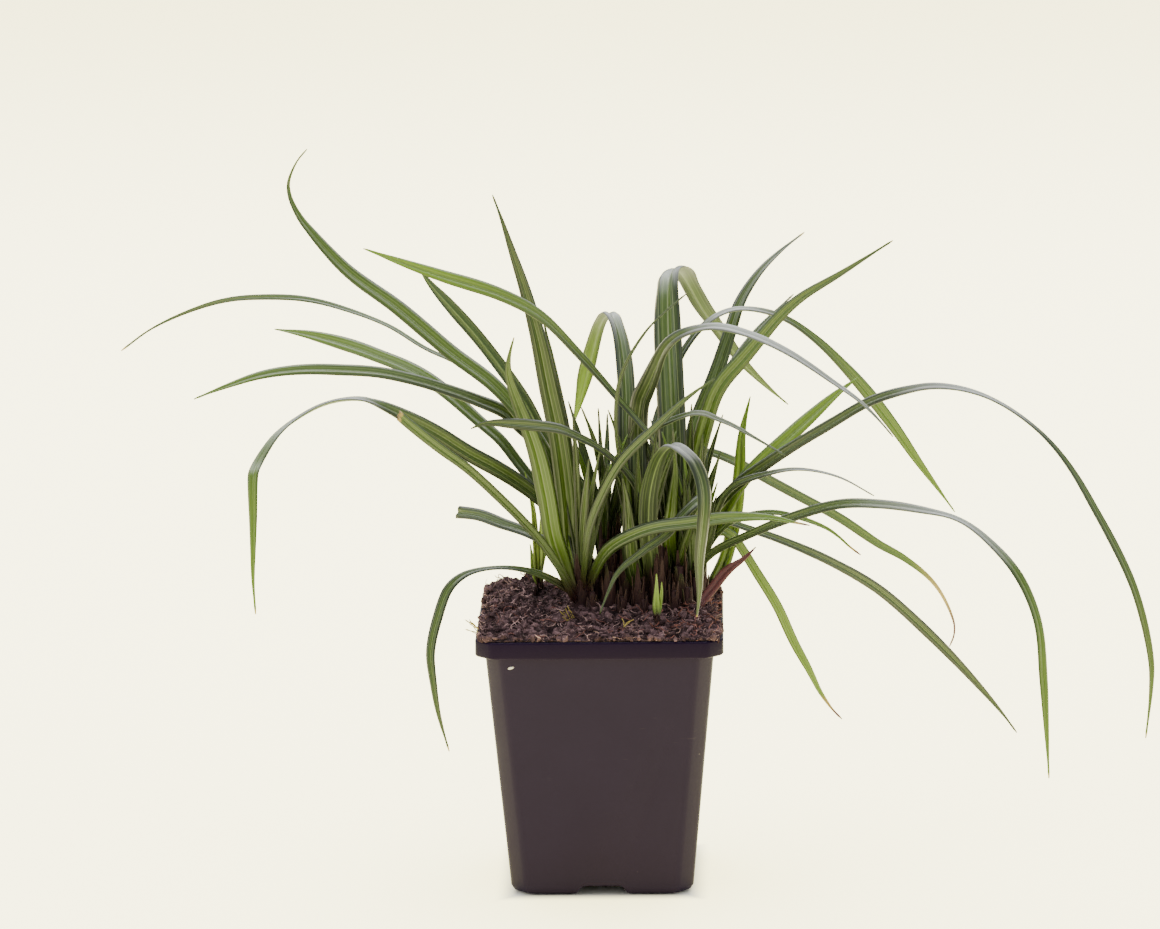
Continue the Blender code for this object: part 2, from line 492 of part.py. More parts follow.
def smooth_through(points, samples=16):
    """A centripetal Catmull-Rom curve through the rows of points."""
    points = np.asarray(points, float)
    ends = np.vstack([2 * points[0] - points[1], points, 2 * points[-1] - points[-2]])
    rows = []
    for i in range(1, len(ends) - 2):
        p0, p1, p2, p3 = ends[i - 1 : i + 3]
        t0 = 0.0
        t1 = t0 + max(np.linalg.norm((p1 - p0)[:3]), 1e-6) ** 0.5
        t2 = t1 + max(np.linalg.norm((p2 - p1)[:3]), 1e-6) ** 0.5
        t3 = t2 + max(np.linalg.norm((p3 - p2)[:3]), 1e-6) ** 0.5
        for t in np.linspace(t1, t2, samples, endpoint=False):
            a1 = (t1 - t) / (t1 - t0) * p0 + (t - t0) / (t1 - t0) * p1
            a2 = (t2 - t) / (t2 - t1) * p1 + (t - t1) / (t2 - t1) * p2
            a3 = (t3 - t) / (t3 - t2) * p2 + (t - t2) / (t3 - t2) * p3
            b1 = (t2 - t) / (t2 - t0) * a1 + (t - t0) / (t2 - t0) * a2
            b2 = (t3 - t) / (t3 - t1) * a2 + (t - t1) / (t3 - t1) * a3
            rows.append((t2 - t) / (t2 - t1) * b1 + (t - t1) / (t2 - t1) * b2)
    rows.append(ends[-2])
    return np.array(rows)


def even_steps(rows, count):
    """The rows read again at evenly spaced lengths along their first three columns."""
    steps = np.linalg.norm(np.diff(rows[:, :3], axis=0), axis=1)
    along = np.concatenate([[0], np.cumsum(steps)])
    wanted = np.linspace(0, along[-1], count)
    return np.stack([np.interp(wanted, along, column) for column in rows.T], axis=1), along[-1]


def leaf_width(width, narrows, share):
    """Width at this share of the length, narrower at the base and, past narrows, towards the tip."""
    base = 0.72 + 0.28 * np.clip(share / 0.22, 0, 1)
    if narrows >= 1:
        return width * base
    past = np.clip((share - narrows) / (1 - narrows), 0, 1)
    return width * base * np.clip(1 - past**1.7, 0, 1)


class Leaf:
    """One leaf: its middle line, the turn of its face and its width at each step."""

    def __init__(self, shoot, name, root, width, narrows, route):
        self.shoot = shoot
        self.name = name
        self.side = 1 if route[-1][0] * MM > root[0] else -1
        rows = [(*root, math.acos(route[0][3]))]
        for across, depth, height, face in route:
            rows.append((*sight_point(across * MM, depth * MM, height * MM), math.acos(face)))
        curve = smooth_through(rows)
        length = even_steps(curve, 2)[1]
        curve, self.length = even_steps(curve, max(8, round(length / ROUTE_STEP)) + 1)
        self.line = curve[:, :3]
        self.turn = np.clip(curve[:, 3], 0, math.pi)
        self.share = np.linspace(0, 1, len(curve))
        self.width = np.maximum(leaf_width(width * MM, narrows, self.share), NARROWEST)
        self.offset = np.zeros(len(curve))

    def placed(self):
        sight = self.line - EYE
        return self.line + sight * (self.offset / sight[:, 1])[:, None]

    def frame(self, line):
        """Direction, sideways direction and upper-face normal at each step of the line."""
        along = np.gradient(line, axis=0)
        along /= np.linalg.norm(along, axis=1)[:, None]
        sight = line - EYE
        sight /= np.linalg.norm(sight, axis=1)[:, None]
        across = np.cross(along, sight)
        across /= np.maximum(np.linalg.norm(across, axis=1), 1e-9)[:, None]
        to_eye = np.cross(along, across)
        normal = np.cos(self.turn)[:, None] * to_eye + self.side * np.sin(self.turn)[:, None] * across
        for _ in range(6):
            normal[1:-1] = 0.25 * normal[:-2] + 0.5 * normal[1:-1] + 0.25 * normal[2:]
            normal -= along * (normal * along).sum(axis=1)[:, None]
            normal /= np.linalg.norm(normal, axis=1)[:, None]
        return along, np.cross(normal, along), normal

    def surface(self):
        """Three points across the leaf at each step."""
        line = self.placed()
        sideways = self.frame(line)[1] * (self.width * 0.4)[:, None]
        return np.stack([line - sideways, line, line + sideways], axis=1)


def make_leaves():
    leaves = []
    for shoot, ((x, y), _, _, rows) in SHOOTS.items():
        start = soil_height(x * MM, y * MM) + LEAF_START
        for name, width, narrows, route in rows:
            leaves.append(Leaf(shoot, name, (x * MM, y * MM, start), width, narrows, route))
    part_leaves(leaves)
    return leaves


def surface_gaps(one, two):
    """The least gap from each step of one leaf's surface to each step of the other's."""
    gaps = one[:, :, None, None, :] - two[None, None, :, :, :]
    return np.sqrt((gaps**2).sum(axis=-1)).min(axis=(1, 3))


def near_pairs(leaves, surfaces):
    """Pairs of leaves that come near each other, past the stretch where leaves of one shoot join."""
    lows = [surface.reshape(-1, 3).min(axis=0) - NEARBY for surface in surfaces]
    highs = [surface.reshape(-1, 3).max(axis=0) for surface in surfaces]
    pairs = []
    for i, one in enumerate(leaves):
        for j in range(i + 1, len(leaves)):
            two = leaves[j]
            if (lows[i] > highs[j]).any() or (lows[j] > highs[i]).any():
                continue
            if surface_gaps(surfaces[i], surfaces[j]).min() < NEARBY:
                joined = None
                if one.shoot == two.shoot:
                    rooted = one.share * one.length < ROOT_FREE
                    joined = rooted[:, None] | (two.share * two.length < ROOT_FREE)[None, :]
                pairs.append((i, j, joined))
    return pairs


def part_leaves(leaves):
    """Bends leaves apart along the line of sight where they would touch or cross."""
    for turn in range(PUSH_ROUNDS):
        surfaces = [leaf.surface() for leaf in leaves]
        if turn % LOOK_AGAIN == 0:
            pairs = near_pairs(leaves, surfaces)
        pushes = [np.zeros(len(leaf.line)) for leaf in leaves]
        for i, j, joined in pairs:
            near = surface_gaps(surfaces[i], surfaces[j])
            clear = CLEAR
            if joined is not None:
                near[joined] = NEARBY
                clear = CLEAR_WITHIN
            if near.min() < clear:
                a, b = np.unravel_index(near.argmin(), near.shape)
                order = np.sign(surfaces[i][a, 1, 1] - surfaces[j][b, 1, 1]) or 1.0
                pushes[i] += order * np.clip(clear - near.min(axis=1), 0, None) * 0.5
                pushes[j] -= order * np.clip(clear - near.min(axis=0), 0, None) * 0.5
        for leaf, push in zip(leaves, pushes):
            for _ in range(8):
                push[1:-1] = 0.25 * push[:-2] + 0.5 * push[1:-1] + 0.25 * push[2:]
                push[-1] = push[-2]
            rooted = np.clip(leaf.share * leaf.length / ROOT_FREE, 0, 1)
            leaf.offset += np.clip(push * PUSH_GAIN, -PUSH_MOST, PUSH_MOST) * rooted


def leaf_mesh(leaf):
    """A leaf folded along its middle: two edges, and the fold above and below."""
    line = leaf.placed()
    count = max(6, round(leaf.length / LEAF_STEP)) + 1
    rows, _ = even_steps(np.column_stack([line, leaf.width, *(f for f in leaf.frame(line)[1:])]), count)
    points, faces = [], []
    for row in rows:
        middle, width, sideways, normal = row[:3], row[3], row[4:7], row[7:10]
        sideways = sideways / np.linalg.norm(sideways)
        normal = normal / np.linalg.norm(normal)
        thick = min(LEAF_THICKNESS, 0.5 * width) / 2
        fold = LEAF_FOLD * width
        points += [
            middle - sideways * width / 2 + normal * fold / 2,
            middle + normal * (thick - fold / 2),
            middle + sideways * width / 2 + normal * fold / 2,
            middle - normal * (thick + fold / 2),
        ]
    for step in range(count - 1):
        low, high = 4 * step, 4 * step + 4
        for side, edge in ((1, 0), (3, 0), (1, 2), (3, 2)):
            outward = (edge == 0) == (side == 1)
            first = (low + edge, low + side, high + side)
            second = (low + edge, high + side, high + edge)
            for face in (first, second):
                faces.append(face if outward else face[::-1])
    faces += [(0, 3, 1), (1, 3, 2)]
    last = 4 * (count - 1)
    faces += [(last, last + 1, last + 3), (last + 1, last + 2, last + 3)]
    obj = mesh_object(leaf.name, points, faces)
    outward_normals(obj)
    return obj


def outward_normals(obj):
    shape = bmesh.new()
    shape.from_mesh(obj.data)
    bmesh.ops.recalc_face_normals(shape, faces=shape.faces)
    shape.to_mesh(obj.data)
    shape.free()


def build_shoot(name, leaves, material):
    """The sheath stands in its hole in the soil, and every leaf grows from it."""
    (x, y), radius, sheath, _ = SHOOTS[name]
    top = soil_height(x * MM, y * MM)
    height = SHOOT_BURIED + sheath * MM
    bpy.ops.mesh.primitive_cone_add(
        vertices=SHOOT_SIDES,
        radius1=radius * MM,
        radius2=radius * MM * 0.6,
        depth=height,
        location=(x * MM, y * MM, top - SHOOT_BURIED + height / 2),
    )
    stem = bpy.context.object
    stem.name = name
    stem.data.name = name
    stem.data.materials.append(material)
    bpy.ops.object.transform_apply(location=True, rotation=True, scale=True)
    # The exact solver leaves open edges where thin leaves lie along each other.
    boolean(stem, [leaf_mesh(leaf) for leaf in leaves if leaf.shoot == name], "UNION", "MANIFOLD")
    return stem


def main():
    clear_scene()
    pot_plastic = plain_material("dark_pot_plastic", (0.052, 0.041, 0.048), 0.5)
    peat = plain_material("peat", (0.055, 0.032, 0.028), 0.95)
    leaf_green = plain_material("leaf_green", (0.09, 0.17, 0.05), 0.4)
    fresh_green = plain_material("fresh_green", (0.28, 0.42, 0.06), 0.45)
    dry_brown = plain_material("dry_brown", (0.14, 0.06, 0.04), 0.7)
    colours = {"spear_shoot": fresh_green, "young_sprout": fresh_green, "dry_sheath": dry_brown}
    build_pot(pot_plastic)
    build_soil(peat)
    leaves = make_leaves()
    for name in SHOOTS:
        build_shoot(name, leaves, colours.get(name, leaf_green))


main()
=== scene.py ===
"""The looks of a potted carex sedge: folded strap leaves, peat and a square nursery pot."""

import math

import bmesh
import bpy
import numpy as np
from mathutils import Matrix, Vector, noise


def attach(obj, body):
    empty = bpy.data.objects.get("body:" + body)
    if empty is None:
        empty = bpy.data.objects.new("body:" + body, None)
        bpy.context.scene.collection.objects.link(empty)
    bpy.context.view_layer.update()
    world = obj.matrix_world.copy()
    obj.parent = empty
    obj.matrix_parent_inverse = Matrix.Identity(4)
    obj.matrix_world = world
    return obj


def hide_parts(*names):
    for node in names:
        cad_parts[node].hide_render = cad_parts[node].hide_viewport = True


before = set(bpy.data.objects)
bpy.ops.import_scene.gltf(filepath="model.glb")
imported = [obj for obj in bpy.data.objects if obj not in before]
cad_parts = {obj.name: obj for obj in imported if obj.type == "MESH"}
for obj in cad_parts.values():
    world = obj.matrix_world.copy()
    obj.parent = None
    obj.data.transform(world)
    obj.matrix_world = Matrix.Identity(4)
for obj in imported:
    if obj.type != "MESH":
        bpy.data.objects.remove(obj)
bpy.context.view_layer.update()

# Pot, metres, as the solids have it
POT_HEIGHT = 0.098
RIM_WIDTH = 0.090
RIM_HEIGHT = 0.0063
WALL_TOP_WIDTH = 0.083
BASE_WIDTH = 0.0665
CORNER_CUT = 0.0056
CORNER_ROUND = 0.0013
RIM_LIP = 0.0006
EDGE_WEAR = 0.00035
WALL = 0.0014
FLOOR = 0.0056
FOOT_ROUND = 0.0026
CHANNEL_WIDTH = 0.0165
CHANNEL_HEIGHT = 0.0038
CHANNEL_INNER = 0.0125
DRAIN_RADIUS = 0.0042
CHANNEL_ROUND = 0.0016
DRAIN_OFFSET = 0.0185
GAP = 0.0003
INNER_RIM = RIM_WIDTH / 2 - WALL - GAP

# Soil, metres. Each heap: where it stands (x, y), how far it spreads and how high it rises.
SOIL_EDGE = 0.0974
SOIL_REACH = RIM_WIDTH / 2 - 0.0008
SOIL_CORNER = 0.0062
LOOSE_REACH = RIM_WIDTH / 2 - 0.0004
LOOSE_CORNER = 0.006
SOIL_MOUND = 0.0022
CRUMB_HEIGHT = 0.0011
CRUMB_SIZE = 0.0046
LUMP_HEIGHT = 0.0010
LUMP_SIZE = 0.0019
GRIT_HEIGHT = 0.0005
GRIT_SIZE = 0.0008
CLOD_HEIGHT = 0.0042
CLOD_SIZE = 0.0062
EDGE_FALL = 0.0015
SOIL_STEPS = 180
CRUMBS = 3600
CRUMB_LEAST = 0.0004
CRUMB_MORE = 0.0017
FIBRES = 1150
ROOTLETS = 420
SOIL_HEAPS = (
    (-0.036, 0.034, 0.022, 0.0030),
    (-0.012, 0.036, 0.016, 0.0020),
    (0.040, -0.012, 0.014, 0.0030),
    (0.038, 0.022, 0.018, 0.0030),
    (-0.004, -0.006, 0.012, 0.0015),
    (0.014, -0.004, 0.014, 0.0015),
)

# Leaves, metres
LEAF_START = 0.0035
LEAF_ACROSS = 10
LEAF_FINE_STEP = 0.0020
LEAF_THIN = 0.00032
TIP_WIDTH = 0.00022
NARROWEST = 0.0007
BROWN_AND_SHADED_ROOT = 0.036
# Share of the painted sheen that the dull leaves get
DULL_SHEEN = 0.3
NEXT_TURN = 2.4
SHEATH_THIN = 0.0003
SHEATH_SUNK = 0.004
CORE_SUNK = 0.009

# Leaf routes are drawn, in millimetres, on a picture plane that squarely faces an eye in front of
# the pot. The depth moves a point along its line of sight, so that the drawing stays true.
MM = 0.001
EYE = np.array([44.8, -2199.6, 614.1]) * MM
EYE_TURN = 0.0236
EYE_DIP = 0.2060
EYE_TILT = 0.0115
PICTURE_DISTANCE = 2282.6 * MM
PICTURE_MIDDLE = np.array([-7.4, 153.7]) * MM
SENSOR = 36.0
LENS = 190.43
ROUTE_STEP = 5.0 * MM
CLEAR = 3.3 * MM
CLEAR_WITHIN = 1.9 * MM
ROOT_FREE = 24.0 * MM
PUSH_ROUNDS = 60
LOOK_AGAIN = 10
NEARBY = 10.0 * MM
PUSH_GAIN = 1.6
PUSH_MOST = 1.2 * MM

# Each shoot: where it stands (x, y), its radius at the soil, the height of its sheath, all in
# millimetres, then its leaves. Each leaf: its name, its width, the share of its length where it
# starts to narrow, and points of its route from the base to the tip: across, depth, height, and
# how much of its upper face it turns to the eye, from 1 through 0, edge on, to -1, its underside.
# A point without the last value has that of the point before it.
SHOOTS = {
    "shoot_left": ((-7, 0), 4.6, 17, [
        ("tall_left", 6.2, 0.62, (-10, 2, 118, 0.5), (-14, 3, 140, 0.6), (-19, 3, 156, 0.7),
         (-37, 7, 181, 0.85), (-56, 14, 196, 0.9), (-75, 22, 212, 0.92), (-94, 30, 226, 0.88),
         (-108, 36, 241, 0.85), (-113, 39, 248, 0.6), (-116, 41, 257, 0.45), (-113, 42, 266, 0.5),
         (-109, 42, 271, 0.6)),
        ("broad_upright", 8.2, 0.35, (-11, 2, 125, 0.9), (-12, 1, 140, 0.95), (-15, 0, 163),
         (-19, -1, 182), (-23, -1, 201), (-28, -1, 219), (-33, -2, 234), (-37, -2, 246),
         (-40, -2, 254)),
        ("behind_upright", 5.6, 0.5, (-9, 4, 118, 0.8), (-11, 5, 140, 0.9), (-13, 6, 163),
         (-16, 7, 181), (-19, 8, 198), (-21, 8, 207)),
        ("front_broad", 7.6, 0.45, (-9, -3, 105, 0.8), (-13, -5, 115, 0.9), (-17, -8, 126, 0.95),
         (-20, -11, 143), (-24, -14, 160), (-31, -17, 178, 0.9), (-34, -19, 187), (-34, -20, 193),
         (-32, -21, 201)),
        ("torn_left", 3.9, 1.0, (-9, -4, 105, 0.7), (-13, -8, 112, 0.75), (-21, -13, 124, 0.8),
         (-27, -17, 131), (-38, -25, 142, 0.85), (-49, -33, 152), (-60, -42, 160, 0.9), (-69, -49, 167),
         (-75, -54, 172, 0.8)),
        ("cut_left", 5.0, 1.0, (-10, 3, 107, 0.5), (-17, 7, 122, 0.6), (-26, 12, 128, 0.7),
         (-37, 18, 132, 0.85), (-45, 23, 135, 0.9), (-53, 28, 136, 0.95)),
        ("low_hanging_left", 3.9, 0.6, (-10, -3, 106, 0.9), (-20, -7, 112, 0.8), (-31, -12, 115, 0.3),
         (-42, -18, 115, 0.1), (-50, -22, 113, 0.5), (-56, -26, 108, 0.9), (-60, -30, 98, 0.95),
         (-63, -34, 84, 0.9), (-62, -37, 73), (-60, -39, 61), (-56, -40, 47)),
        ("front_slant", 3.6, 0.6, (-6, -6, 114, 0.6), (-4, -10, 130, 0.8), (1, -13, 143, 0.9),
         (8, -17, 155), (20, -22, 167), (32, -26, 178), (43, -30, 186)),
        ("front_thin", 3.2, 0.6, (-4, -3, 118, 0.6), (0, -6, 137, 0.8), (7, -12, 154),
         (17, -17, 165, 0.7), (26, -21, 170, 0.6), (37, -27, 173), (43, -30, 171, 0.7), (50, -34, 168),
         (57, -38, 164, 0.8), (69, -43, 157)),
        ("front_low_right", 5.0, 0.62, (-2, -6, 114, 0.8), (2, -11, 121, 0.9), (7, -15, 125, 0.95),
         (19, -22, 130), (33, -28, 132), (48, -34, 134, 0.9), (63, -40, 134, 0.8), (73, -44, 132),
         (78, -46, 131, 0.7)),
    ]),
    "shoot_left_back": ((2, 20), 4.6, 17, [
        ("long_drooping_left", 6.2, 0.6, (-4, 18, 118, 0.7), (-12, 15, 130, 0.8), (-21, 11, 140, 0.9),
         (-30, 7, 147), (-38, 2, 152, 0.95), (-49, -5, 158), (-60, -13, 165), (-71, -22, 171, 0.8),
         (-82, -30, 176, 0.5), (-89, -36, 178, 0.1), (-100, -46, 177, 0), (-111, -60, 172),
         (-121, -72, 164, 0.3), (-128, -82, 153, 0.75), (-129, -86, 150, 0.9), (-129, -91, 133),
         (-129, -94, 122), (-129, -96, 111), (-128, -98, 98)),
        ("long_level_left", 5.8, 0.72, (-5, 18, 118, 0.6), (-15, 17, 148, 0.7), (-22, 15, 161, 0.8),
         (-30, 13, 168), (-35, 11, 173), (-44, 8, 177, 0.75), (-58, 3, 182, 0.7), (-72, -4, 186),
         (-82, -9, 188), (-97, -17, 189), (-112, -25, 189), (-126, -33, 187, 0.75),
         (-141, -41, 182, 0.8), (-151, -45, 178)),
        ("back_level_left", 5.8, 0.78, (-4, 20, 114, 0.6), (-13, 21, 131), (-22, 24, 144),
         (-30, 28, 154, 0.65), (-37, 31, 163, 0.7), (-45, 35, 170, 0.75), (-54, 40, 178, 0.8),
         (-63, 46, 185, 0.85), (-72, 53, 190, 0.9), (-82, 61, 194), (-93, 70, 198), (-108, 84, 202),
         (-121, 96, 204, 0.8)),
        ("thin_far_left", 3.2, 0.55, (-4, 20, 118, 0.7), (-15, 24, 152), (-37, 31, 181, 0.6),
         (-52, 39, 191, 0.5), (-65, 46, 197, 0.4), (-78, 54, 205), (-93, 64, 211, 0.5),
         (-108, 74, 215, 0.7), (-122, 84, 216, 0.85), (-138, 93, 215, 0.9), (-152, 102, 211),
         (-167, 110, 204), (-178, 115, 196, 0.8)),
        ("underside_left", 5.4, 0.82, (3, 20, 118, -0.6), (2, 21, 129, -0.8), (-7, 24, 145, -0.85),
         (-12, 26, 153), (-20, 29, 162), (-25, 32, 172, -0.9), (-29, 34, 179), (-39, 41, 193),
         (-47, 46, 203), (-56, 51, 213), (-64, 57, 222), (-68, 60, 228)),
        ("short_centre", 4.6, 0.35, (2, 17, 118, 0.9), (2, 15, 135), (1, 13, 150), (-3, 11, 165),
         (-7, 10, 175)),
        ("hidden_upright", 5.0, 0.5, (-6, 24, 120, 0.8), (-15, 36, 163, 0.9), (-21, 52, 195),
         (-26, 66, 213), (-30, 74, 225)),
        ("low_back_left", 5.0, 0.55, (-4, 28, 118, 0.9), (-12, 44, 139, 0.6), (-16, 64, 152, 0.1),
         (-17, 88, 150, -0.5), (-15, 112, 136, -0.7), (-13, 128, 121, -0.8)),
        ("hidden_left", 3.8, 0.5, (-12, 24, 135, 0.8), (-19, 32, 156, 0.85), (-37, 50, 181, 0.9),
         (-56, 70, 196), (-75, 88, 212), (-93, 104, 225)),
    ]),
    "shoot_middle": ((15, 5), 4.8, 18, [
        ("front_crossing", 4.3, 0.8, (17, 3, 118, 0.6), (17, -1, 137, 0.7), (14, -4, 145),
         (8, -9, 153, 0.45), (-2, -16, 161, 0.5), (-8, -20, 164, 0.6), (-15, -24, 167, 0.75),
         (-22, -27, 168, 0.9), (-35, -31, 169, 1), (-43, -33, 169), (-48, -34, 167)),
        ("back_arch", 7.0, 0.82, (12, 8, 118, 0.9), (11, 11, 140), (10, 15, 163), (10, 21, 178),
         (9, 32, 193), (7, 42, 204, 0.6), (4, 52, 210, 0.1), (1, 60, 208, -0.3), (-1, 67, 204, -0.6),
         (-4, 76, 193, -0.85), (-7, 84, 180, -0.95), (-10, 91, 168)),
        ("broad_front_arch", 7.8, 0.5, (15, 4, 126, 0.9), (14, 4, 148, 0.95), (14, 4, 163),
         (15, 3, 177), (18, 1, 184, 0.85), (21, -2, 191, 0.7), (24, -6, 197, 0.5), (30, -13, 202, 0.35),
         (43, -27, 205, 0.3), (56, -39, 202, 0.35), (71, -52, 195, 0.4), (86, -64, 185, 0.45),
         (97, -74, 177, 0.55), (104, -80, 170, 0.6), (109, -84, 164)),
        ("short_slant", 5.0, 0.3, (11, 0, 126, 0.9), (10, -1, 144), (9, 0, 155), (6, 2, 166),
         (3, 3, 174)),
        ("short_broad", 7.4, 0.3, (12, -2, 118, 0.9), (11, -5, 129, 0.95), (10, -6, 140), (8, -7, 150)),
        ("thread", 1.9, 0.5, (9, 1, 145, 0.8), (6, -3, 170), (8, -6, 187), (17, -10, 203),
         (26, -13, 212), (32, -14, 217)),
        ("front_fold", 7.4, 0.66, (19, 1, 113, -0.9), (18, -3, 126, -0.95), (18, -8, 140, -0.9),
         (20, -14, 151, -0.8), (23, -21, 158, -0.4), (27, -27, 161, 0.1), (31, -33, 159, 0.5),
         (35, -38, 155, 0.6), (38, -42, 148, 0.65), (39, -45, 140, 0.68), (38, -47, 128, 0.7),
         (37, -47, 118, 0.75), (37, -47, 106, 0.8), (36, -46, 97, 0.85)),
        ("low_back_middle", 5.2, 0.5, (16, 14, 120, 0.9), (17, 32, 146, 0.6), (17, 58, 157, 0.1),
         (17, 88, 150, -0.5), (17, 112, 135, -0.7), (17, 130, 118, -0.8)),
    ]),
    "shoot_centre_right": ((28, 15), 4.8, 18, [
        ("centre_blade", 10.4, 0.5, (27, 15, 118, 0.95), (27, 17, 140, 0.98), (27, 20, 163),
         (26, 26, 185), (25, 36, 207, 0.95), (25, 45, 220, 0.7), (26, 54, 225, 0.2),
         (30, 64, 226, -0.3), (33, 74, 222, -0.6), (38, 84, 213, -0.8), (45, 95, 203), (53, 106, 192),
         (63, 116, 182), (70, 122, 176)),
        ("right_back_arch", 5.8, 0.72, (23, 17, 133, 0.6), (20, 24, 159, 0.5), (21, 28, 170),
         (25, 33, 181, 0.45), (30, 39, 194, 0.4), (38, 47, 205, 0.3), (48, 56, 211, 0.2),
         (60, 65, 211, 0.3), (71, 73, 207, 0.4), (82, 78, 199, 0.5), (93, 83, 188, 0.7),
         (100, 86, 180, 0.85), (110, 90, 167, 0.95), (119, 93, 154), (127, 95, 143, 0.9),
         (132, 96, 136, 0.85)),
        ("left_crossing", 5.8, 0.78, (25, 11, 135, 0.2), (22, 8, 158), (18, 6, 165, 0.25),
         (7, 1, 178, 0.35), (-7, -6, 194, 0.5), (-22, -13, 209, 0.65), (-37, -18, 217, 0.8),
         (-59, -24, 224, 0.9), (-74, -27, 229), (-88, -30, 234)),
        ("right_low_arch", 4.2, 0.7, (30, 15, 118, 0.5), (33, 12, 130), (43, 10, 133),
         (58, 16, 129, 0.6), (74, 26, 123, 0.7), (89, 38, 116, 0.8), (104, 50, 107, 0.9), (119, 61, 94),
         (134, 70, 79), (149, 78, 62), (155, 81, 54)),
        ("front_low_left", 4.2, 0.5, (30, 8, 118, 0.8), (34, 2, 131, 0.7), (37, -5, 139, 0.4),
         (38, -10, 141, 0.1), (35, -14, 139, 0.5), (30, -17, 134, 0.85), (24, -19, 127, 0.95),
         (18, -21, 123), (13, -22, 119), (7, -24, 114, 0.9), (3, -26, 106), (0, -28, 98)),
        ("short_upright", 6.0, 0.4, (26, 10, 126, 0.9), (27, 8, 140), (28, 7, 153), (27, 7, 160)),
        ("short_side", 5.0, 0.4, (31, 11, 126, 0.9), (32, 9, 140), (31, 9, 152)),
        ("low_back_centre", 5.6, 0.5, (28, 24, 120, 0.9), (28, 44, 150, 0.5), (29, 70, 160, 0),
         (30, 98, 152, -0.5), (32, 122, 136, -0.7), (33, 138, 120, -0.8)),
        ("hidden_centre", 5.4, 0.5, (27, 21, 120, 0.9), (27, 34, 160), (26, 48, 190, 0.8),
         (25, 58, 206), (24, 64, 214)),
    ]),
    "shoot_right_back": ((33, 28), 4.4, 16, [
        ("back_spear", 6.4, 0.35, (33, 31, 122, 0.8), (33, 33, 140, 0.9), (35, 36, 165, 0.95),
         (37, 40, 172), (43, 46, 187), (48, 55, 202), (52, 64, 214), (59, 76, 225), (67, 88, 233, 0.9),
         (76, 99, 240)),
        ("right_spear", 6.8, 0.3, (35, 28, 125, 0.8), (35, 26, 140, 0.9), (36, 25, 155, 0.95),
         (39, 22, 168), (44, 20, 182), (54, 18, 194), (60, 17, 201), (67, 15, 209), (75, 12, 216),
         (90, 8, 225), (109, 4, 237)),
        ("yellow_right", 5.4, 0.7, (39, 27, 122, 0.7), (44, 24, 132, 0.8), (50, 21, 143, 0.9),
         (56, 20, 151), (61, 20, 156), (70, 23, 164, 0.95), (80, 28, 173), (88, 32, 180),
         (96, 36, 186)),
        ("great_right_arch", 5.2, 0.72, (39, 24, 129, 0.8), (42, 20, 136, 0.85), (52, 9, 147),
         (59, 3, 152, 0.8), (71, -6, 160, 0.75), (86, -15, 169, 0.7), (100, -25, 177, 0.65),
         (112, -33, 181, 0.6), (125, -39, 183, 0.4), (141, -47, 180, 0.2), (156, -54, 172, 0.1),
         (171, -60, 158, 0.25), (186, -65, 134, 0.5), (199, -69, 107, 0.6), (205, -71, 81, 0.85),
         (205, -72, 70), (203, -72, 52)),
        ("right_back_low", 4.4, 0.56, (35, 35, 133, 0.8), (35, 43, 151, 0.6), (39, 49, 158, 0.7),
         (50, 54, 155, 0.8), (61, 59, 149), (74, 66, 142), (89, 74, 134), (104, 82, 124),
         (113, 87, 119, 0.7), (123, 93, 111, 0.6), (129, 98, 102), (132, 102, 92, 0.7), (130, 104, 86)),
        ("right_small_low", 3.8, 0.6, (38, 29, 118, 0.7), (42, 27, 128, 0.5), (47, 27, 129, 0.7),
         (51, 28, 125, 0.9), (58, 30, 114, 0.95), (66, 33, 101), (72, 36, 88), (78, 38, 77),
         (82, 40, 69, 0.9), (87, 41, 62), (90, 42, 59)),
        ("low_back_right", 4.2, 0.5, (30, 40, 118, 0.9), (33, 58, 141, 0.5), (36, 80, 149, 0),
         (38, 104, 142, -0.4), (38, 124, 126, -0.5), (38, 136, 113, -0.6)),
        ("hidden_right", 4.2, 0.45, (36, 38, 140, 0.9), (39, 50, 168), (44, 62, 182), (57, 82, 202),
         (72, 98, 217)),
    ]),
    "shoot_right": ((35, 9), 4.0, 14, [
        ("front_right_arch", 4.6, 0.75, (35, 6, 113, 0.8), (42, 2, 121, 0.7), (54, -7, 127, 0.6),
         (71, -19, 134, 0.75), (89, -32, 139), (104, -43, 139, 0.7), (119, -54, 137, 0.6),
         (134, -66, 133, 0.25), (145, -76, 125, 0.5), (156, -86, 112, 0.7), (163, -92, 95, 0.5),
         (165, -96, 74, 0.85), (166, -99, 57), (167, -101, 37)),
        ("thin_right", 3.2, 0.5, (41, 4, 126, 0.7), (45, 0, 140, 0.8), (50, -4, 146),
         (61, -11, 150, 0.6), (74, -20, 152, 0.4), (89, -29, 149), (102, -36, 142, 0.5)),
        ("small_right", 2.6, 0.5, (41, 7, 124, 0.7), (50, 5, 133), (63, 3, 136, 0.6), (74, 2, 134, 0.8),
         (86, 1, 129, 0.9), (93, -1, 123), (97, -2, 120)),
    ]),
    "small_shoot": ((-23, 23), 2.2, 12, [
        ("tiny_tall", 2.6, 0.35, (-23, 22, 112, 0.9), (-24, 20, 127), (-25, 18, 138), (-28, 16, 151)),
        ("tiny_middle", 3.4, 0.4, (-23, 23, 112, 0.9), (-22, 23, 124), (-22, 22, 134)),
        ("tiny_left", 2.4, 0.4, (-24, 23, 112, 0.9), (-26, 23, 124)),
        ("tiny_right", 2.0, 0.4, (-22, 24, 114, 0.8), (-20, 25, 123), (-18, 26, 129)),
    ]),
    "spear_shoot": ((36, 35), 1.7, 14, [
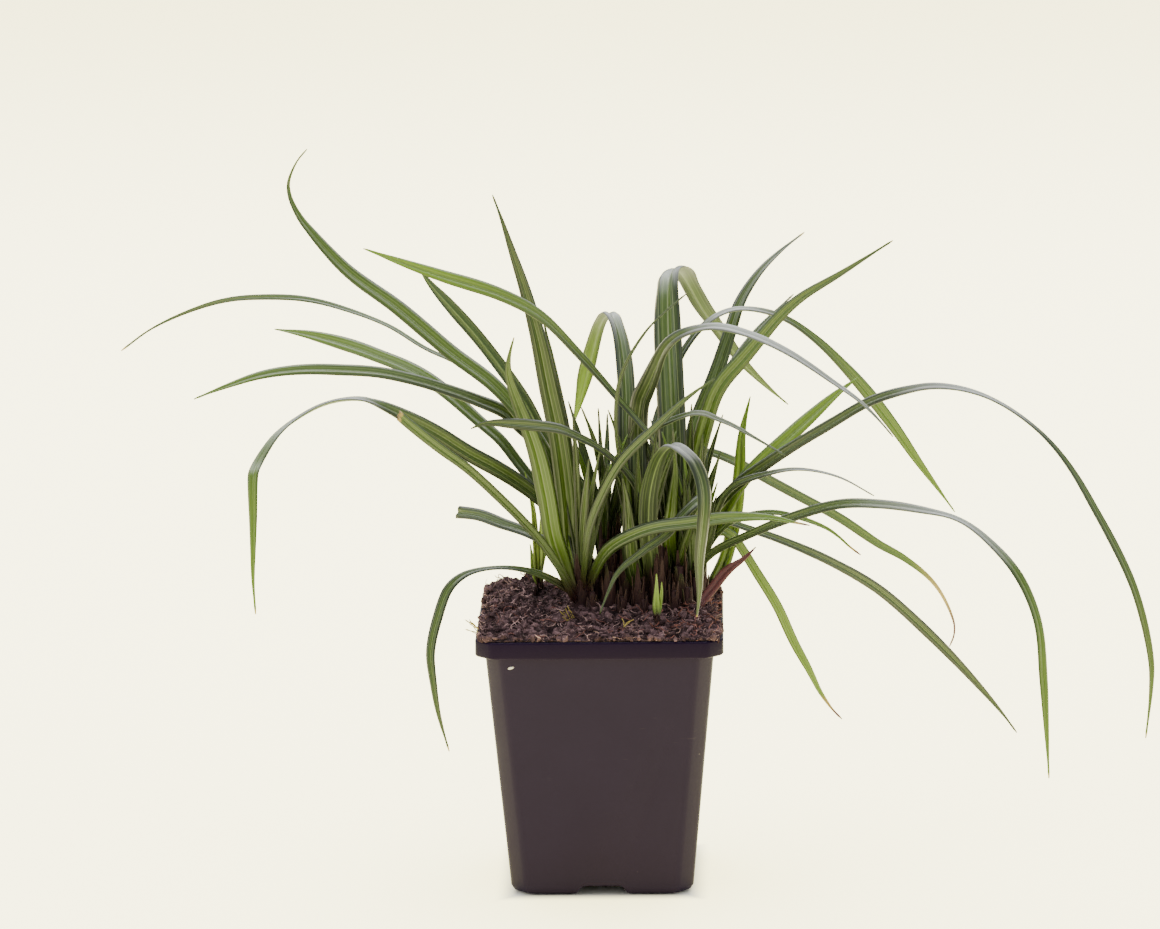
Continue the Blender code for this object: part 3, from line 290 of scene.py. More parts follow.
        ("new_spear", 5.8, 0.5, (39, 36, 106, 0.8), (46, 36, 117), (49, 36, 128, 0.9), (51, 36, 140),
         (52, 37, 152), (53, 38, 166), (56, 40, 179)),
    ]),
    "young_sprout": ((21, -25), 2.0, 7, [
        ("sprout_tall", 3.2, 0.3, (21, -25, 101, 0.9), (21, -25, 107), (21, -25, 113)),
        ("sprout_low", 2.6, 0.3, (22, -24, 101, 0.9), (23, -24, 106), (23, -24, 110)),
    ]),
    "dry_sheath": ((36, -9), 2.2, 6, [
        ("torn_sheath", 4.0, 0.8, (39, -6, 104, 0.9), (43, -4, 109), (47, -2, 114), (54, 1, 119),
         (58, 3, 123)),
    ]),
}


def uneven(x, y, z, size=1):
    """A smooth rise or fall at this place, with lumps of about this size."""
    return noise.noise(Vector((x, y, z)) / size)


def soil_height(x, y):
    """The soil surface: a low mound, level with the rim at the edge, with crumbs."""
    reach = max(abs(x), abs(y)) / INNER_RIM
    crumbs = uneven(x, y, 0.31, CRUMB_SIZE) + 0.6 * uneven(x, y, 0.77, CRUMB_SIZE * 0.45)
    return SOIL_EDGE + SOIL_MOUND * (1 - reach**3) + CRUMB_HEIGHT * crumbs * min(1, 3 * (1.15 - reach))


def sight_point(across, depth, height):
    """The point at this depth on the line from the eye through the drawn point."""
    sine, cosine = math.sin(EYE_TURN), math.cos(EYE_TURN)
    ahead = np.array([-sine * math.cos(EYE_DIP), cosine * math.cos(EYE_DIP), -math.sin(EYE_DIP)])
    right = np.array([cosine, sine, 0.0])
    up = np.cross(right, ahead)
    right, up = (
        math.cos(EYE_TILT) * right - math.sin(EYE_TILT) * up,
        math.sin(EYE_TILT) * right + math.cos(EYE_TILT) * up,
    )
    drawn = np.array([across, height]) - PICTURE_MIDDLE
    ray = ahead * PICTURE_DISTANCE + right * drawn[0] + up * drawn[1]
    return EYE + ray * (depth - EYE[1]) / ray[1]


def between(low, high, spot, first, second):
    """What lies between two points, where the spot lies between low and high."""
    return (high - spot) / (high - low) * first + (spot - low) / (high - low) * second


def soften(values):
    """Brings each value but the ends towards its neighbours."""
    values[1:-1] = 0.25 * values[:-2] + 0.5 * values[1:-1] + 0.25 * values[2:]


def smooth_through(points, samples=16):
    """A centripetal Catmull-Rom curve through the rows of points."""
    points = np.asarray(points, float)
    ends = np.vstack([2 * points[0] - points[1], points, 2 * points[-1] - points[-2]])
    rows = []
    for i in range(1, len(ends) - 2):
        p0, p1, p2, p3 = ends[i - 1 : i + 3]
        times = [0.0]
        for one, two in ((p0, p1), (p1, p2), (p2, p3)):
            times.append(times[-1] + max(np.linalg.norm((two - one)[:3]), 1e-6) ** 0.5)
        t0, t1, t2, t3 = times
        for t in np.linspace(t1, t2, samples, endpoint=False):
            a1, a2 = between(t0, t1, t, p0, p1), between(t1, t2, t, p1, p2)
            b1 = between(t0, t2, t, a1, a2)
            b2 = between(t1, t3, t, a2, between(t2, t3, t, p2, p3))
            rows.append(between(t1, t2, t, b1, b2))
    rows.append(ends[-2])
    return np.array(rows)


def even_steps(rows, count):
    """The rows read again at evenly spaced lengths along their first three columns."""
    steps = np.linalg.norm(np.diff(rows[:, :3], axis=0), axis=1)
    along = np.concatenate([[0], np.cumsum(steps)])
    wanted = np.linspace(0, along[-1], count)
    return np.stack([np.interp(wanted, along, column) for column in rows.T], axis=1), along[-1]


def leaf_width(width, narrows, share):
    """Width at this share of the length, narrower at the base and, past narrows, towards the tip."""
    base = 0.72 + 0.28 * np.clip(share / 0.22, 0, 1)
    if narrows >= 1:
        return width * base
    past = np.clip((share - narrows) / (1 - narrows), 0, 1)
    return width * base * np.clip(1 - past**1.7, 0, 1)


class Leaf:
    """One leaf: its middle line, the turn of its face and its width at each step."""

    def __init__(self, shoot, name, root, width, narrows, route):
        self.shoot = shoot
        self.name = name
        self.side = 1 if route[-1][0] * MM > root[0] else -1
        rows = [(*root, math.acos(route[0][3]))]
        for across, depth, height, *face in route:
            turn = math.acos(face[0]) if face else rows[-1][3]
            rows.append((*sight_point(across * MM, depth * MM, height * MM), turn))
        curve = smooth_through(rows)
        length = even_steps(curve, 2)[1]
        curve, self.length = even_steps(curve, max(8, round(length / ROUTE_STEP)) + 1)
        self.line = curve[:, :3]
        self.turn = np.clip(curve[:, 3], 0, math.pi)
        self.share = np.linspace(0, 1, len(curve))
        self.narrows = narrows
        self.width = np.maximum(leaf_width(width * MM, narrows, self.share), NARROWEST)
        self.offset = np.zeros(len(curve))

    def placed(self):
        sight = self.line - EYE
        return self.line + sight * (self.offset / sight[:, 1])[:, None]

    def frame(self, line):
        """Direction, sideways direction and upper-face normal at each step of the line."""
        along = np.gradient(line, axis=0)
        along /= np.linalg.norm(along, axis=1)[:, None]
        sight = line - EYE
        sight /= np.linalg.norm(sight, axis=1)[:, None]
        across = np.cross(along, sight)
        across /= np.maximum(np.linalg.norm(across, axis=1), 1e-9)[:, None]
        to_eye = np.cross(along, across)
        normal = np.cos(self.turn)[:, None] * to_eye + self.side * np.sin(self.turn)[:, None] * across
        for _ in range(6):
            soften(normal)
            normal -= along * (normal * along).sum(axis=1)[:, None]
            normal /= np.linalg.norm(normal, axis=1)[:, None]
        return along, np.cross(normal, along), normal

    def surface(self):
        """Three points across the leaf at each step."""
        line = self.placed()
        sideways = self.frame(line)[1] * (self.width * 0.4)[:, None]
        return np.stack([line - sideways, line, line + sideways], axis=1)


def make_leaves():
    leaves = []
    for shoot, ((x, y), _, _, rows) in SHOOTS.items():
        start = soil_height(x * MM, y * MM) + LEAF_START
        for name, width, narrows, *route in rows:
            leaves.append(Leaf(shoot, name, (x * MM, y * MM, start), width, narrows, route))
    part_leaves(leaves)
    return leaves


def surface_gaps(one, two):
    """The least gap from each step of one leaf's surface to each step of the other's."""
    gaps = one[:, :, None, None, :] - two[None, None, :, :, :]
    return np.sqrt((gaps**2).sum(axis=-1)).min(axis=(1, 3))


def near_pairs(leaves, surfaces):
    """Pairs of leaves that come near each other, past the stretch where leaves of one shoot join."""
    lows = [surface.reshape(-1, 3).min(axis=0) - NEARBY for surface in surfaces]
    highs = [surface.reshape(-1, 3).max(axis=0) for surface in surfaces]
    pairs = []
    for i, one in enumerate(leaves):
        for j in range(i + 1, len(leaves)):
            two = leaves[j]
            if (lows[i] > highs[j]).any() or (lows[j] > highs[i]).any():
                continue
            if surface_gaps(surfaces[i], surfaces[j]).min() < NEARBY:
                joined = None
                if one.shoot == two.shoot:
                    rooted = one.share * one.length < ROOT_FREE
                    joined = rooted[:, None] | (two.share * two.length < ROOT_FREE)[None, :]
                pairs.append((i, j, joined))
    return pairs


def part_leaves(leaves):
    """Bends leaves apart along the line of sight where they would touch or cross."""
    for turn in range(PUSH_ROUNDS):
        surfaces = [leaf.surface() for leaf in leaves]
        if turn % LOOK_AGAIN == 0:
            pairs = near_pairs(leaves, surfaces)
        pushes = [np.zeros(len(leaf.line)) for leaf in leaves]
        for i, j, joined in pairs:
            near = surface_gaps(surfaces[i], surfaces[j])
            clear = CLEAR
            if joined is not None:
                near[joined] = NEARBY
                clear = CLEAR_WITHIN
            if near.min() < clear:
                a, b = np.unravel_index(near.argmin(), near.shape)
                order = np.sign(surfaces[i][a, 1, 1] - surfaces[j][b, 1, 1]) or 1.0
                pushes[i] += order * np.clip(clear - near.min(axis=1), 0, None) * 0.5
                pushes[j] -= order * np.clip(clear - near.min(axis=0), 0, None) * 0.5
        for leaf, push in zip(leaves, pushes):
            for _ in range(8):
                soften(push)
                push[-1] = push[-2]
            rooted = np.clip(leaf.share * leaf.length / ROOT_FREE, 0, 1)
            leaf.offset += np.clip(push * PUSH_GAIN, -PUSH_MOST, PUSH_MOST) * rooted


# How much painted light from behind each leaf shows at its base, middle and tip, where a value below zero
# paints shade, and the length in millimetres of its dry end, where 0 is none. A leaf that isn't listed
# here has the plain look.
PLAIN_LOOK = (0.15, 0.1, 0.1, 0)
LEAF_LOOKS = {
    "tall_left": (0.3, 0.4, 0.35, 0),
    "broad_upright": (0.45, 0.3, 0.1, 0),
    "behind_upright": (0.3, 0.2, 0.0, 0),
    "front_broad": (0.6, 0.4, 0.3, 1),
    "torn_left": (0.3, 0.3, 0.4, 2),
    "low_hanging_left": (0.25, 0.0, 0.1, 2),
    "front_slant": (0.1, 0.2, 0.3, 0),
    "front_thin": (0.1, 0.05, 0.0, 0),
    "front_low_right": (0.05, 0.2, 0.8, 6),
    "long_drooping_left": (0.1, 0.05, 0.75, 2),
    "long_level_left": (0.05, 0.2, 0.65, 0),
    "back_level_left": (0.1, 0.45, 0.6, 0),
    "thin_far_left": (0.0, 0.3, 0.1, 3),
    "underside_left": (0.1, 0.1, 0.1, 0),
    "short_centre": (0.35, 0.4, 0.3, 0),
    "back_arch": (0.0, 0.0, 1.0, 0),
    "broad_front_arch": (0.15, 0.0, 0.0, 0),
    "front_fold": (-0.5, -0.4, 0.3, 1),
    "centre_blade": (0.3, 0.0, 0.35, 0),
    "right_back_arch": (0.1, 0.2, 0.85, 0),
    "left_crossing": (0.1, 0.2, 0.95, 1),
    "back_spear": (0.45, 0.35, 0.0, 3),
    "right_spear": (0.5, 0.45, 0.2, 1),
    "yellow_right": (0.4, 0.7, 0.8, 0),
    "great_right_arch": (0.25, 0.05, 0.5, 2),
    "right_back_low": (0.2, 0.3, 0.85, 42),
    "right_small_low": (0.3, 0.7, 0.85, 12),
    "front_right_arch": (0.2, 0.05, 0.7, 2),
    "small_right": (0.2, 0.3, 0.85, 6),
    "short_slant": (0.6, 0.5, 0.4, 0),
    "short_upright": (0.5, 0.5, 0.4, 0),
    "new_spear": (1.2, 1.5, 1.1, 0),
    **dict.fromkeys(("sprout_tall", "sprout_low"), (0.8, 1.3, 1.6, 0)),
    **dict.fromkeys(("tiny_tall", "tiny_middle", "tiny_left", "tiny_right"), (1.9, 2.0, 1.8, 0)),
    "inner_dark": (0.05, 0.0, 0.0, 0),
    "inner_bright": (0.5, 0.8, 0.7, 0),
    "torn_sheath": (0.0, 0.0, 0.0, 900),
}

# Leaves that stay greener where they lie level, with less of the painted sheen than the others
DULL_LEAVES = (
    "cut_left", "tall_left", "thin_far_left", "long_level_left", "back_level_left", "torn_left",
    "front_low_right", "front_low_left", "right_low_arch", "right_back_low", "small_right",
    "low_hanging_left"
)

# Short inner leaves that fill the middle of each shoot, and spent sheaths that stand between the
# shoots: where they stand, their radius and their height, in millimetres
INNER_LEAVES = 12
INNER_LOWEST = 108
SPENT_SHEATHS = (
    (3, -4, 3.4, 15), (9, 2, 3.6, 18), (9, 11, 3.8, 20), (21, -3, 3.6, 16), (22, 8, 4.0, 22),
    (29, 2, 3.8, 17), (35, 0, 2.6, 13), (2, 10, 3.6, 17), (13, 18, 3.8, 22), (22, 21, 4.0, 22),
    (-3, -7, 2.4, 8), (30, 21, 3.2, 20), (37, 20, 2.8, 15), (-25, 20, 1.3, 5), (14, -5, 3.0, 12),
    (27, -8, 2.4, 10), (8, -9, 2.2, 8), (-2, 6, 3.0, 13), (16, -11, 1.8, 7), (32, -6, 2.4, 11),
    (1, 13, 3.0, 24), (7, 14, 3.4, 25), (4, 5, 3.0, 20), (11, 16, 3.0, 24), (18, 14, 3.2, 24)
)

# Dry straws: where they stand in millimetres, the least and most they rise and their turn in degrees,
# and how many there are. Then a grain of grit that has stuck to the pot's wall, in metres: where it
# is drawn, across and up, and how high on the wall that is.
STRAWS = (
    (-10, -19, 30, 75, 150, 8), (-44, -24, 10, 40, 185, 4), (-44, -31, 0, 35, 170, 3),
    (8, -30, 5, 50, 60, 3)
)
STRAW_LENGTHS = (0.0040, 0.0072)
GRAIN_ACROSS = -0.0331
GRAIN_DRAWN = 0.0780
GRAIN_HEIGHT = 0.0878


class Finish:
    """A material in the making, with short ways to add its nodes and join them."""

    def __init__(self, name, roughness, specular):
        self.material = bpy.data.materials.new(name)
        self.material.use_nodes = True
        self.tree = self.material.node_tree
        self.shader = self.tree.nodes["Principled BSDF"]
        self.level("Roughness", roughness)
        self.level("Specular IOR Level", specular)

    def put(self, socket, value):
        if isinstance(value, bpy.types.NodeSocket):
            self.tree.links.new(value, socket)
        else:
            socket.default_value = value

    def level(self, name, value):
        self.put(self.shader.inputs[name], value)

    def add(self, kind, inputs, output=0, **settings):
        node = self.tree.nodes.new(kind)
        for name, value in settings.items():
            setattr(node, name, value)
        for name, value in inputs.items():
            self.put(node.inputs[name], value)
        return node.outputs[output]

    def math(self, operation, first, second=0.5):
        return self.add("ShaderNodeMath", {0: first, 1: second}, operation=operation)

    def plus(self, value, other, share):
        """The value and a share of the other."""
        return self.math("ADD", value, self.math("MULTIPLY", other, share))

    def apart(self, value, place):
        """How far the value is from the place, to either side."""
        return self.math("ABSOLUTE", self.math("SUBTRACT", value, place))

    def axis(self, vector, name):
        return self.add("ShaderNodeSeparateXYZ", {"Vector": vector}, name)

    def ramped(self, value, low, high, start=0.0, end=1.0):
        inputs = {"Value": value, "From Min": low, "From Max": high, "To Min": start, "To Max": end}
        return self.add("ShaderNodeMapRange", inputs, interpolation_type="SMOOTHSTEP")

    def blend(self, share, first, second):
        return self.add("ShaderNodeMix", {0: share, 6: first, 7: second}, 2, data_type="RGBA")

    def paint(self, under, over, value, low, high, start=0.0, end=1.0):
        """One colour laid over another, more of it as the value goes from low to high."""
        return self.blend(self.ramped(value, low, high, start, end), under, over)

    def noise(self, vector, scale, detail=2.0, rough=0.5):
        inputs = {"Vector": vector, "Scale": scale, "Detail": detail, "Roughness": rough}
        return self.add("ShaderNodeTexNoise", inputs, "Fac")

    def stretched(self, vector, scale, place=(0, 0, 0)):
        return self.add("ShaderNodeMapping", {"Vector": vector, "Scale": scale, "Location": place})

    def attribute(self, name):
        return self.add("ShaderNodeAttribute", {}, "Fac", attribute_name=name)

    def place(self, output):
        return self.add("ShaderNodeTexCoord", {}, output)

    def dressed(self, colour, height, strength, distance):
        """The material, with its colour and its relief."""
        inputs = {"Height": height, "Strength": strength, "Distance": distance}
        self.level("Base Color", colour)
        self.level("Normal", self.add("ShaderNodeBump", inputs))
        return self.material


def leaf_finish(name, colours, roughness, painted_fold_shade, painted_sheen_share):
    """Leaf skin: lengthwise lines, veins and worn ends, with painted shade at the edges, painted light in
    the middle, painted highlights along the centre and ridges, painted light from behind, a painted sheen
    where the leaf lies level and a darker base.
    """
    edge, dark, light, line, backlit = colours
    finish = Finish(name, roughness, specular=0.3)
    uv = finish.place("UV")
    across = finish.axis(uv, "X")
    centred = finish.apart(across, 0.5)
    streaks = finish.noise(finish.stretched(uv, (30.0, 0.3, 1.0)), 1.0, 3.0, 0.6)
    patches = finish.noise(finish.stretched(uv, (3.0, 0.25, 1.0), (4.0, 7.0, 0.0)), 1.0, 2.0)
    veins = finish.math("SINE", finish.math("MULTIPLY", across, 88.0))
    fine = finish.plus(streaks, veins, 0.10)
    toned = finish.plus(fine, finish.attribute("tone"), 0.3)
    # Painted light in the middle of the fold and painted shade towards its sides
    band = finish.ramped(centred, 0.10, 0.33, painted_fold_shade, -painted_fold_shade)
    green = finish.paint(dark, light, finish.math("ADD", toned, band), 0.2, 0.85)
    green = finish.paint(green, light, patches, 0.45, 0.8, 0.0, 0.3)
    # Painted light from behind: yellow-green as it rises, painted shade in the dark edge colour as it
    # falls below zero, and the pale green of young leaves at the top
    painted_backlight = finish.plus(finish.attribute("painted_backlight"), fine, 0.3)
    green = finish.paint(green, backlit, painted_backlight, 0.25, 1.15)
    green = finish.paint(green, edge, painted_backlight, -0.3, 0.15, 0.85, 0.0)
    green = finish.paint(green, FRESH_BACKLIT, painted_backlight, 1.3, 2.1)
    # Painted sheen: a silvery grey laid where the leaf lies level, standing in for the reflection of the
    # light overhead
    painted_sheen = finish.plus(finish.attribute("painted_sheen"), streaks, 0.6)
    green = finish.paint(green, SHEEN_COLOUR, painted_sheen, 0.45, 1.4, 0.0, painted_sheen_share)
    # Painted shade along both edges, then pale lines: a painted highlight along the centre and along each
    # ridge, and a thin pale margin at the very edge
    green = finish.paint(green, edge, centred, 0.34, 0.46, 0.0, 0.65)
    green = finish.paint(green, line, centred, 0.010, 0.050, 0.75, 0.0)
    for place, share in ((0.17, 0.3), (0.30, 0.5)):
        apart = finish.apart(centred, place)
        green = finish.paint(green, line, apart, 0.004, 0.026, share, 0.0)
    green = finish.paint(green, line, centred, 0.480, 0.497, 0.0, 0.3)
    # Darker towards the base: first a deep green, painted shade of the crowded foot of the clump, then
    # the leaf base's own reddish brown
    root = finish.plus(finish.attribute("root"), streaks, 0.3)
    green = finish.paint(green, (0.032, 0.050, 0.006, 1), root, 0.45, 0.9, 0.0, 0.6)
    green = finish.paint(green, (0.018, 0.006, 0.006, 1), root, 0.85, 1.25)
    dry = finish.plus(finish.attribute("dry"), patches, 0.5)
    green = finish.paint(green, (0.26, 0.19, 0.045, 1), dry, 0.3, 0.7)
    green = finish.paint(green, (0.070, 0.022, 0.020, 1), dry, 0.8, 1.15)
    gloss = finish.ramped(streaks, 0.3, 0.8, roughness - 0.05, roughness + 0.1)
    finish.level("Roughness", gloss)
    return finish.dressed(green, fine, 0.4, 0.00012)


def sheath_finish():
    """Old leaf bases: purple-brown, streaked, with paler papery edges and a greener top."""
    finish = Finish("brown_sheath", roughness=0.6, specular=0.15)
    uv = finish.place("UV")
    across = finish.axis(uv, "X")
    along = finish.axis(uv, "Y")
    centred = finish.apart(across, 0.5)
    streaks = finish.noise(finish.stretched(uv, (22.0, 2.0, 1.0)), 1.0, 4.0, 0.65)
    patches = finish.noise(finish.place("Object"), 260.0, 3.0)
    dark, light = (0.0130, 0.0052, 0.0056, 1), (0.036, 0.0135, 0.0115, 1)
    brown = finish.paint(dark, light, streaks, 0.3, 0.8)
    brown = finish.paint(brown, (0.038, 0.019, 0.014, 1), patches, 0.5, 0.75, 0.0, 0.5)
    top = finish.plus(along, finish.attribute("tone"), 0.7)
    brown = finish.paint(brown, (0.026, 0.040, 0.007, 1), top, 0.95, 1.5, 0.0, 0.9)
    brown = finish.paint(brown, (0.070, 0.040, 0.025, 1), centred, 0.42, 0.5, 0.0, 0.6)
    return finish.dressed(brown, streaks, 0.6, 0.0002)


def peat_finish(name, dark, middle, pale):
    finish = Finish(name, roughness=0.92, specular=0.05)
    where = finish.place("Object")
    grains = finish.noise(where, 900.0, 4.0, 0.7)
    clumps = finish.noise(where, 150.0, 3.0, 0.6)
    colour = finish.paint(dark, middle, clumps, 0.35, 0.7)
    colour = finish.paint(colour, pale, grains, 0.55, 0.8, 0.0, 0.85)
    return finish.dressed(colour, grains, 0.9, 0.0005)


def pot_finish(name, dark, light):
    """Dark moulded plastic with a faint grain, dust, light specks and small scratches."""
    finish = Finish(name, roughness=0.42, specular=0.05)
    where = finish.place("Object")
    grain = finish.noise(where, 2600.0, 2.0)
    haze = finish.noise(where, 38.0, 4.0, 0.6)
    drawn = finish.stretched(where, (90.0, 90.0, 900.0), (0.3, 0.1, 0.2))
    scratches = finish.noise(drawn, 1.0, 2.0, 0.7)
    plastic = finish.paint(dark, light, haze, 0.3, 0.75)
    plastic = finish.paint(plastic, (0.045, 0.038, 0.040, 1), scratches, 0.70, 0.78, 0.0, 0.22)
    spaced = {"Vector": where, "Scale": 190.0, "Randomness": 1.0}
    cells = finish.ramped(finish.add("ShaderNodeTexVoronoi", spaced, "Distance"), 0.05, 0.09, 1.0, 0.0)
    few = finish.ramped(finish.noise(where, 60.0, 1.0), 0.60, 0.68)
    specks = finish.math("MULTIPLY", cells, few)
    plastic = finish.blend(specks, plastic, (0.12, 0.10, 0.10, 1))
    finish.level("Roughness", finish.ramped(haze, 0.3, 0.75, 0.40, 0.52))
    return finish.dressed(plastic, grain, 0.18, 0.0001)


def plain_finish(name, colour, roughness, change, scale):
    """One colour that varies a little over the piece."""
    finish = Finish(name, roughness, specular=0.1)
    spots = finish.noise(finish.place("Object"), scale, 3.0)
    darker = tuple(part * (1 - change) for part in colour) + (1.0,)
    lighter = tuple(min(1.0, part * (1 + change)) for part in colour) + (1.0,)
    mottled = finish.paint(darker, lighter, spots, 0.3, 0.7)
    return finish.dressed(mottled, spots, 0.3, 0.0002)


def start_piece(name):
    """The primitive that was just added, named, as a piece."""
    piece = bpy.context.object
    piece.name = name
    piece.data.name = name
    return piece


def open_mesh():
    bpy.ops.object.mode_set(mode="EDIT")
    bpy.ops.mesh.select_all(action="SELECT")


def close_mesh():
    bpy.ops.mesh.select_all(action="SELECT")
    bpy.ops.mesh.normals_make_consistent(inside=False)
    bpy.ops.object.mode_set(mode="OBJECT")


def pick(pieces):
    """Selects these pieces and no others, and makes the first one active."""
    bpy.ops.object.select_all(action="DESELECT")
    for piece in pieces:
        piece.select_set(True)
    bpy.context.view_layer.objects.active = pieces[0]


def settle(piece):
    """Puts the piece's place, turn and size into its mesh."""
    pick([piece])
    bpy.ops.object.transform_apply(location=True, rotation=True, scale=True)


def apply_all(piece):
    pick([piece])
    for modifier in list(piece.modifiers):
        bpy.ops.object.modifier_apply(modifier=modifier.name)


def join_pieces(pieces, name):
    pick(pieces)
    if len(pieces) > 1:
        bpy.ops.object.join()
    return start_piece(name)


def finish_piece(piece, materials, slot, *nodes):
    """Gives a piece its materials and its body, and hides the solids that it stands for. The slot is not
    used.
    """
    if materials:
        piece.data.materials.clear()
        for material in materials:
            piece.data.materials.append(material)
    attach(piece, "root")
    if nodes:
        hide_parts(*nodes)


def add_attribute(mesh, name, values):
    mesh.attributes.new(name, "FLOAT", "POINT").data.foreach_set("value", np.asarray(values, np.float32))


def laid_grid(name, points, *spot):
    """A grid laid on rows of points, with one tone all over, which is that of the spot."""
    steps, columns = points.shape[:2]
    bpy.ops.mesh.primitive_grid_add(x_subdivisions=columns - 1, y_subdivisions=steps - 1, size=1)
    piece = start_piece(name)
    piece.data.vertices.foreach_set("co", points.reshape(-1).astype(np.float32))
    add_attribute(piece.data, "tone", np.full(steps * columns, uneven(*spot)))
    return piece


def thicken(piece, thickness, offset, under=0):
    """Gives a sheet its thickness, and its second face the material that is this many further on."""
    solid = piece.modifiers.new("thickness", "SOLIDIFY")
    solid.thickness = thickness
    solid.offset = offset
    solid.material_offset = under
    solid.material_offset_rim = under
    apply_all(piece)
    piece.data.shade_smooth()
    return piece


def section_height(side):
    """The leaf's folded section: a channel in the middle and a ridge at each side."""
    ridge = 0.54
    side = abs(side)
    if side < ridge:
        return side / ridge
    return 1 - 0.62 * (side - ridge) / (1 - ridge)


def grown_leaf(leaf, number):
    """One folded leaf: a grid laid along its route, given its section, its marks and its thickness."""
    line = leaf.placed()
    _, sideways, normal = leaf.frame(line)
    rows = smooth_through(np.column_stack([line, leaf.width, sideways, normal]), 4)
    steps = max(14, round(leaf.length / LEAF_FINE_STEP))
    rows, length = even_steps(rows, steps + 1)
    columns = LEAF_ACROSS + 1
    share = np.linspace(0, 1, steps + 1)
    backlight_base, backlight_middle, backlight_tip, dry_length = LEAF_LOOKS.get(leaf.name, PLAIN_LOOK)
    painted_backlight = np.interp(share, [0, 0.5, 1], [backlight_base, backlight_middle, backlight_tip])
    from_tip = (1 - share) * length
    driest = 1.1 if dry_length > 5 else 0.75
    dry = np.clip(1.15 - from_tip / (max(dry_length, 1) * MM), -0.6, driest if dry_length else -0.6)
    root = 1.25 - (share * length) / min(BROWN_AND_SHADED_ROOT, 0.30 * length)
    painted_sheen = np.empty(steps + 1)
    points = np.empty((steps + 1, columns, 3))
    for step, row in enumerate(rows):
        middle, width, across, upper = row[:3], row[3], row[4:7], row[7:10]
        across = across / np.linalg.norm(across)
        upper = upper / np.linalg.norm(upper)
        # A painted sheen where the leaf lies level, facing up or down, standing in for the reflection of
        # the light overhead
        facing_up = max(0.0, (abs(upper[2]) - 0.66) / 0.34) if share[step] > 0.1 else 0.0
        painted_sheen[step] = facing_up * (DULL_SHEEN if leaf.name in DULL_LEAVES else 1.0)
        width = width * (1 + 0.05 * uneven(share[step] * length * 45, number * 3.7, 0.5))
        if leaf.narrows < 1:
            width = min(width, TIP_WIDTH + 0.25 * from_tip[step])
        fold = 0.30 - 0.10 * min(1.0, share[step] / 0.35)
        for column in range(columns):
            side = 1 - 2 * column / LEAF_ACROSS
            ripple = uneven(share[step] * length * 90, number * 1.3, side * 2.0)
            height = width * fold * (section_height(side) - 0.5) + width * 0.02 * ripple * abs(side)
            points[step, column] = middle + across * (side * width / 2) + upper * height
    piece = laid_grid("leaf_" + leaf.name, points, number * 0.9, 2.2, 0.1)
    for name, values in (("painted_backlight", painted_backlight), ("dry", dry), ("root", root), ("painted_sheen", painted_sheen)):
        add_attribute(piece.data, name, np.repeat(values, columns))
    uv = piece.data.uv_layers.active.data
    for loop in piece.data.loops:
        step, column = divmod(loop.vertex_index, columns)
        uv[loop.index].uv = (column / LEAF_ACROSS, share[step] * length * 100)
    piece.data.materials.append(LEAF_TOP)
    piece.data.materials.append(LEAF_UNDER)
    return thicken(piece, LEAF_THIN, 0, 1)


def sheath_scale(x, y, ground, turn, radius, height, spread, number):
    """One old leaf base wrapped round a shoot: a grid rolled up, narrowed to a point at its top."""
    across, steps = 10, 14
    points = np.empty((steps + 1, across + 1, 3))
    for step in range(steps + 1):
        up = step / steps
        reach = radius * (1 - 0.38 * up + 0.22 * up**3)
        open_turn = spread * (1 - up**1.4 * 0.93)
        for column in range(across + 1):
            angle = turn + open_turn * (0.5 - column / across)
            crumple = 1 + 0.10 * uneven(number * 2.1, up * 3, column * 0.5)
            out_x, out_y = math.cos(angle) * reach * crumple, math.sin(angle) * reach * crumple
            points[step, column] = (x + out_x, y + out_y, ground + height * up)
    return thicken(laid_grid("scale", points, number, 0.4, 8.1), SHEATH_THIN, -1)


def sheath_cluster(x, y, radius, sheath, name, rng):
    """The foot of a shoot: a core with old sheaths wrapped round it, set in the soil."""
    x, y, radius, sheath = x * MM, y * MM, radius * MM, sheath * MM
    top = soil_height(x, y)
    bpy.ops.mesh.primitive_cone_add(
        vertices=20, radius1=radius * 0.8, radius2=radius * 0.4, depth=sheath + CORE_SUNK,
        location=(x, y, top + sheath / 2 - CORE_SUNK / 2)
    )
    core = start_piece("core")
    add_attribute(core.data, "tone", np.full(len(core.data.vertices), -0.4))
    settle(core)
    core.data.shade_smooth()
    scales = [core]
    for number in range(4 + round(radius / MM * 1.2)):
        turn = number * NEXT_TURN + rng.uniform(-0.3, 0.3)
        out = radius * (1.06 - 0.05 * number)
        tall = sheath * rng.uniform(0.6, 1.0) * (0.7 + 0.14 * number)
        spread = rng.uniform(2.0, 3.4)
        ground, height = top - SHEATH_SUNK, tall + SHEATH_SUNK
        scales.append(sheath_scale(x, y, ground, turn, out, height, spread, number + x * 900))
    return join_pieces(scales, name)


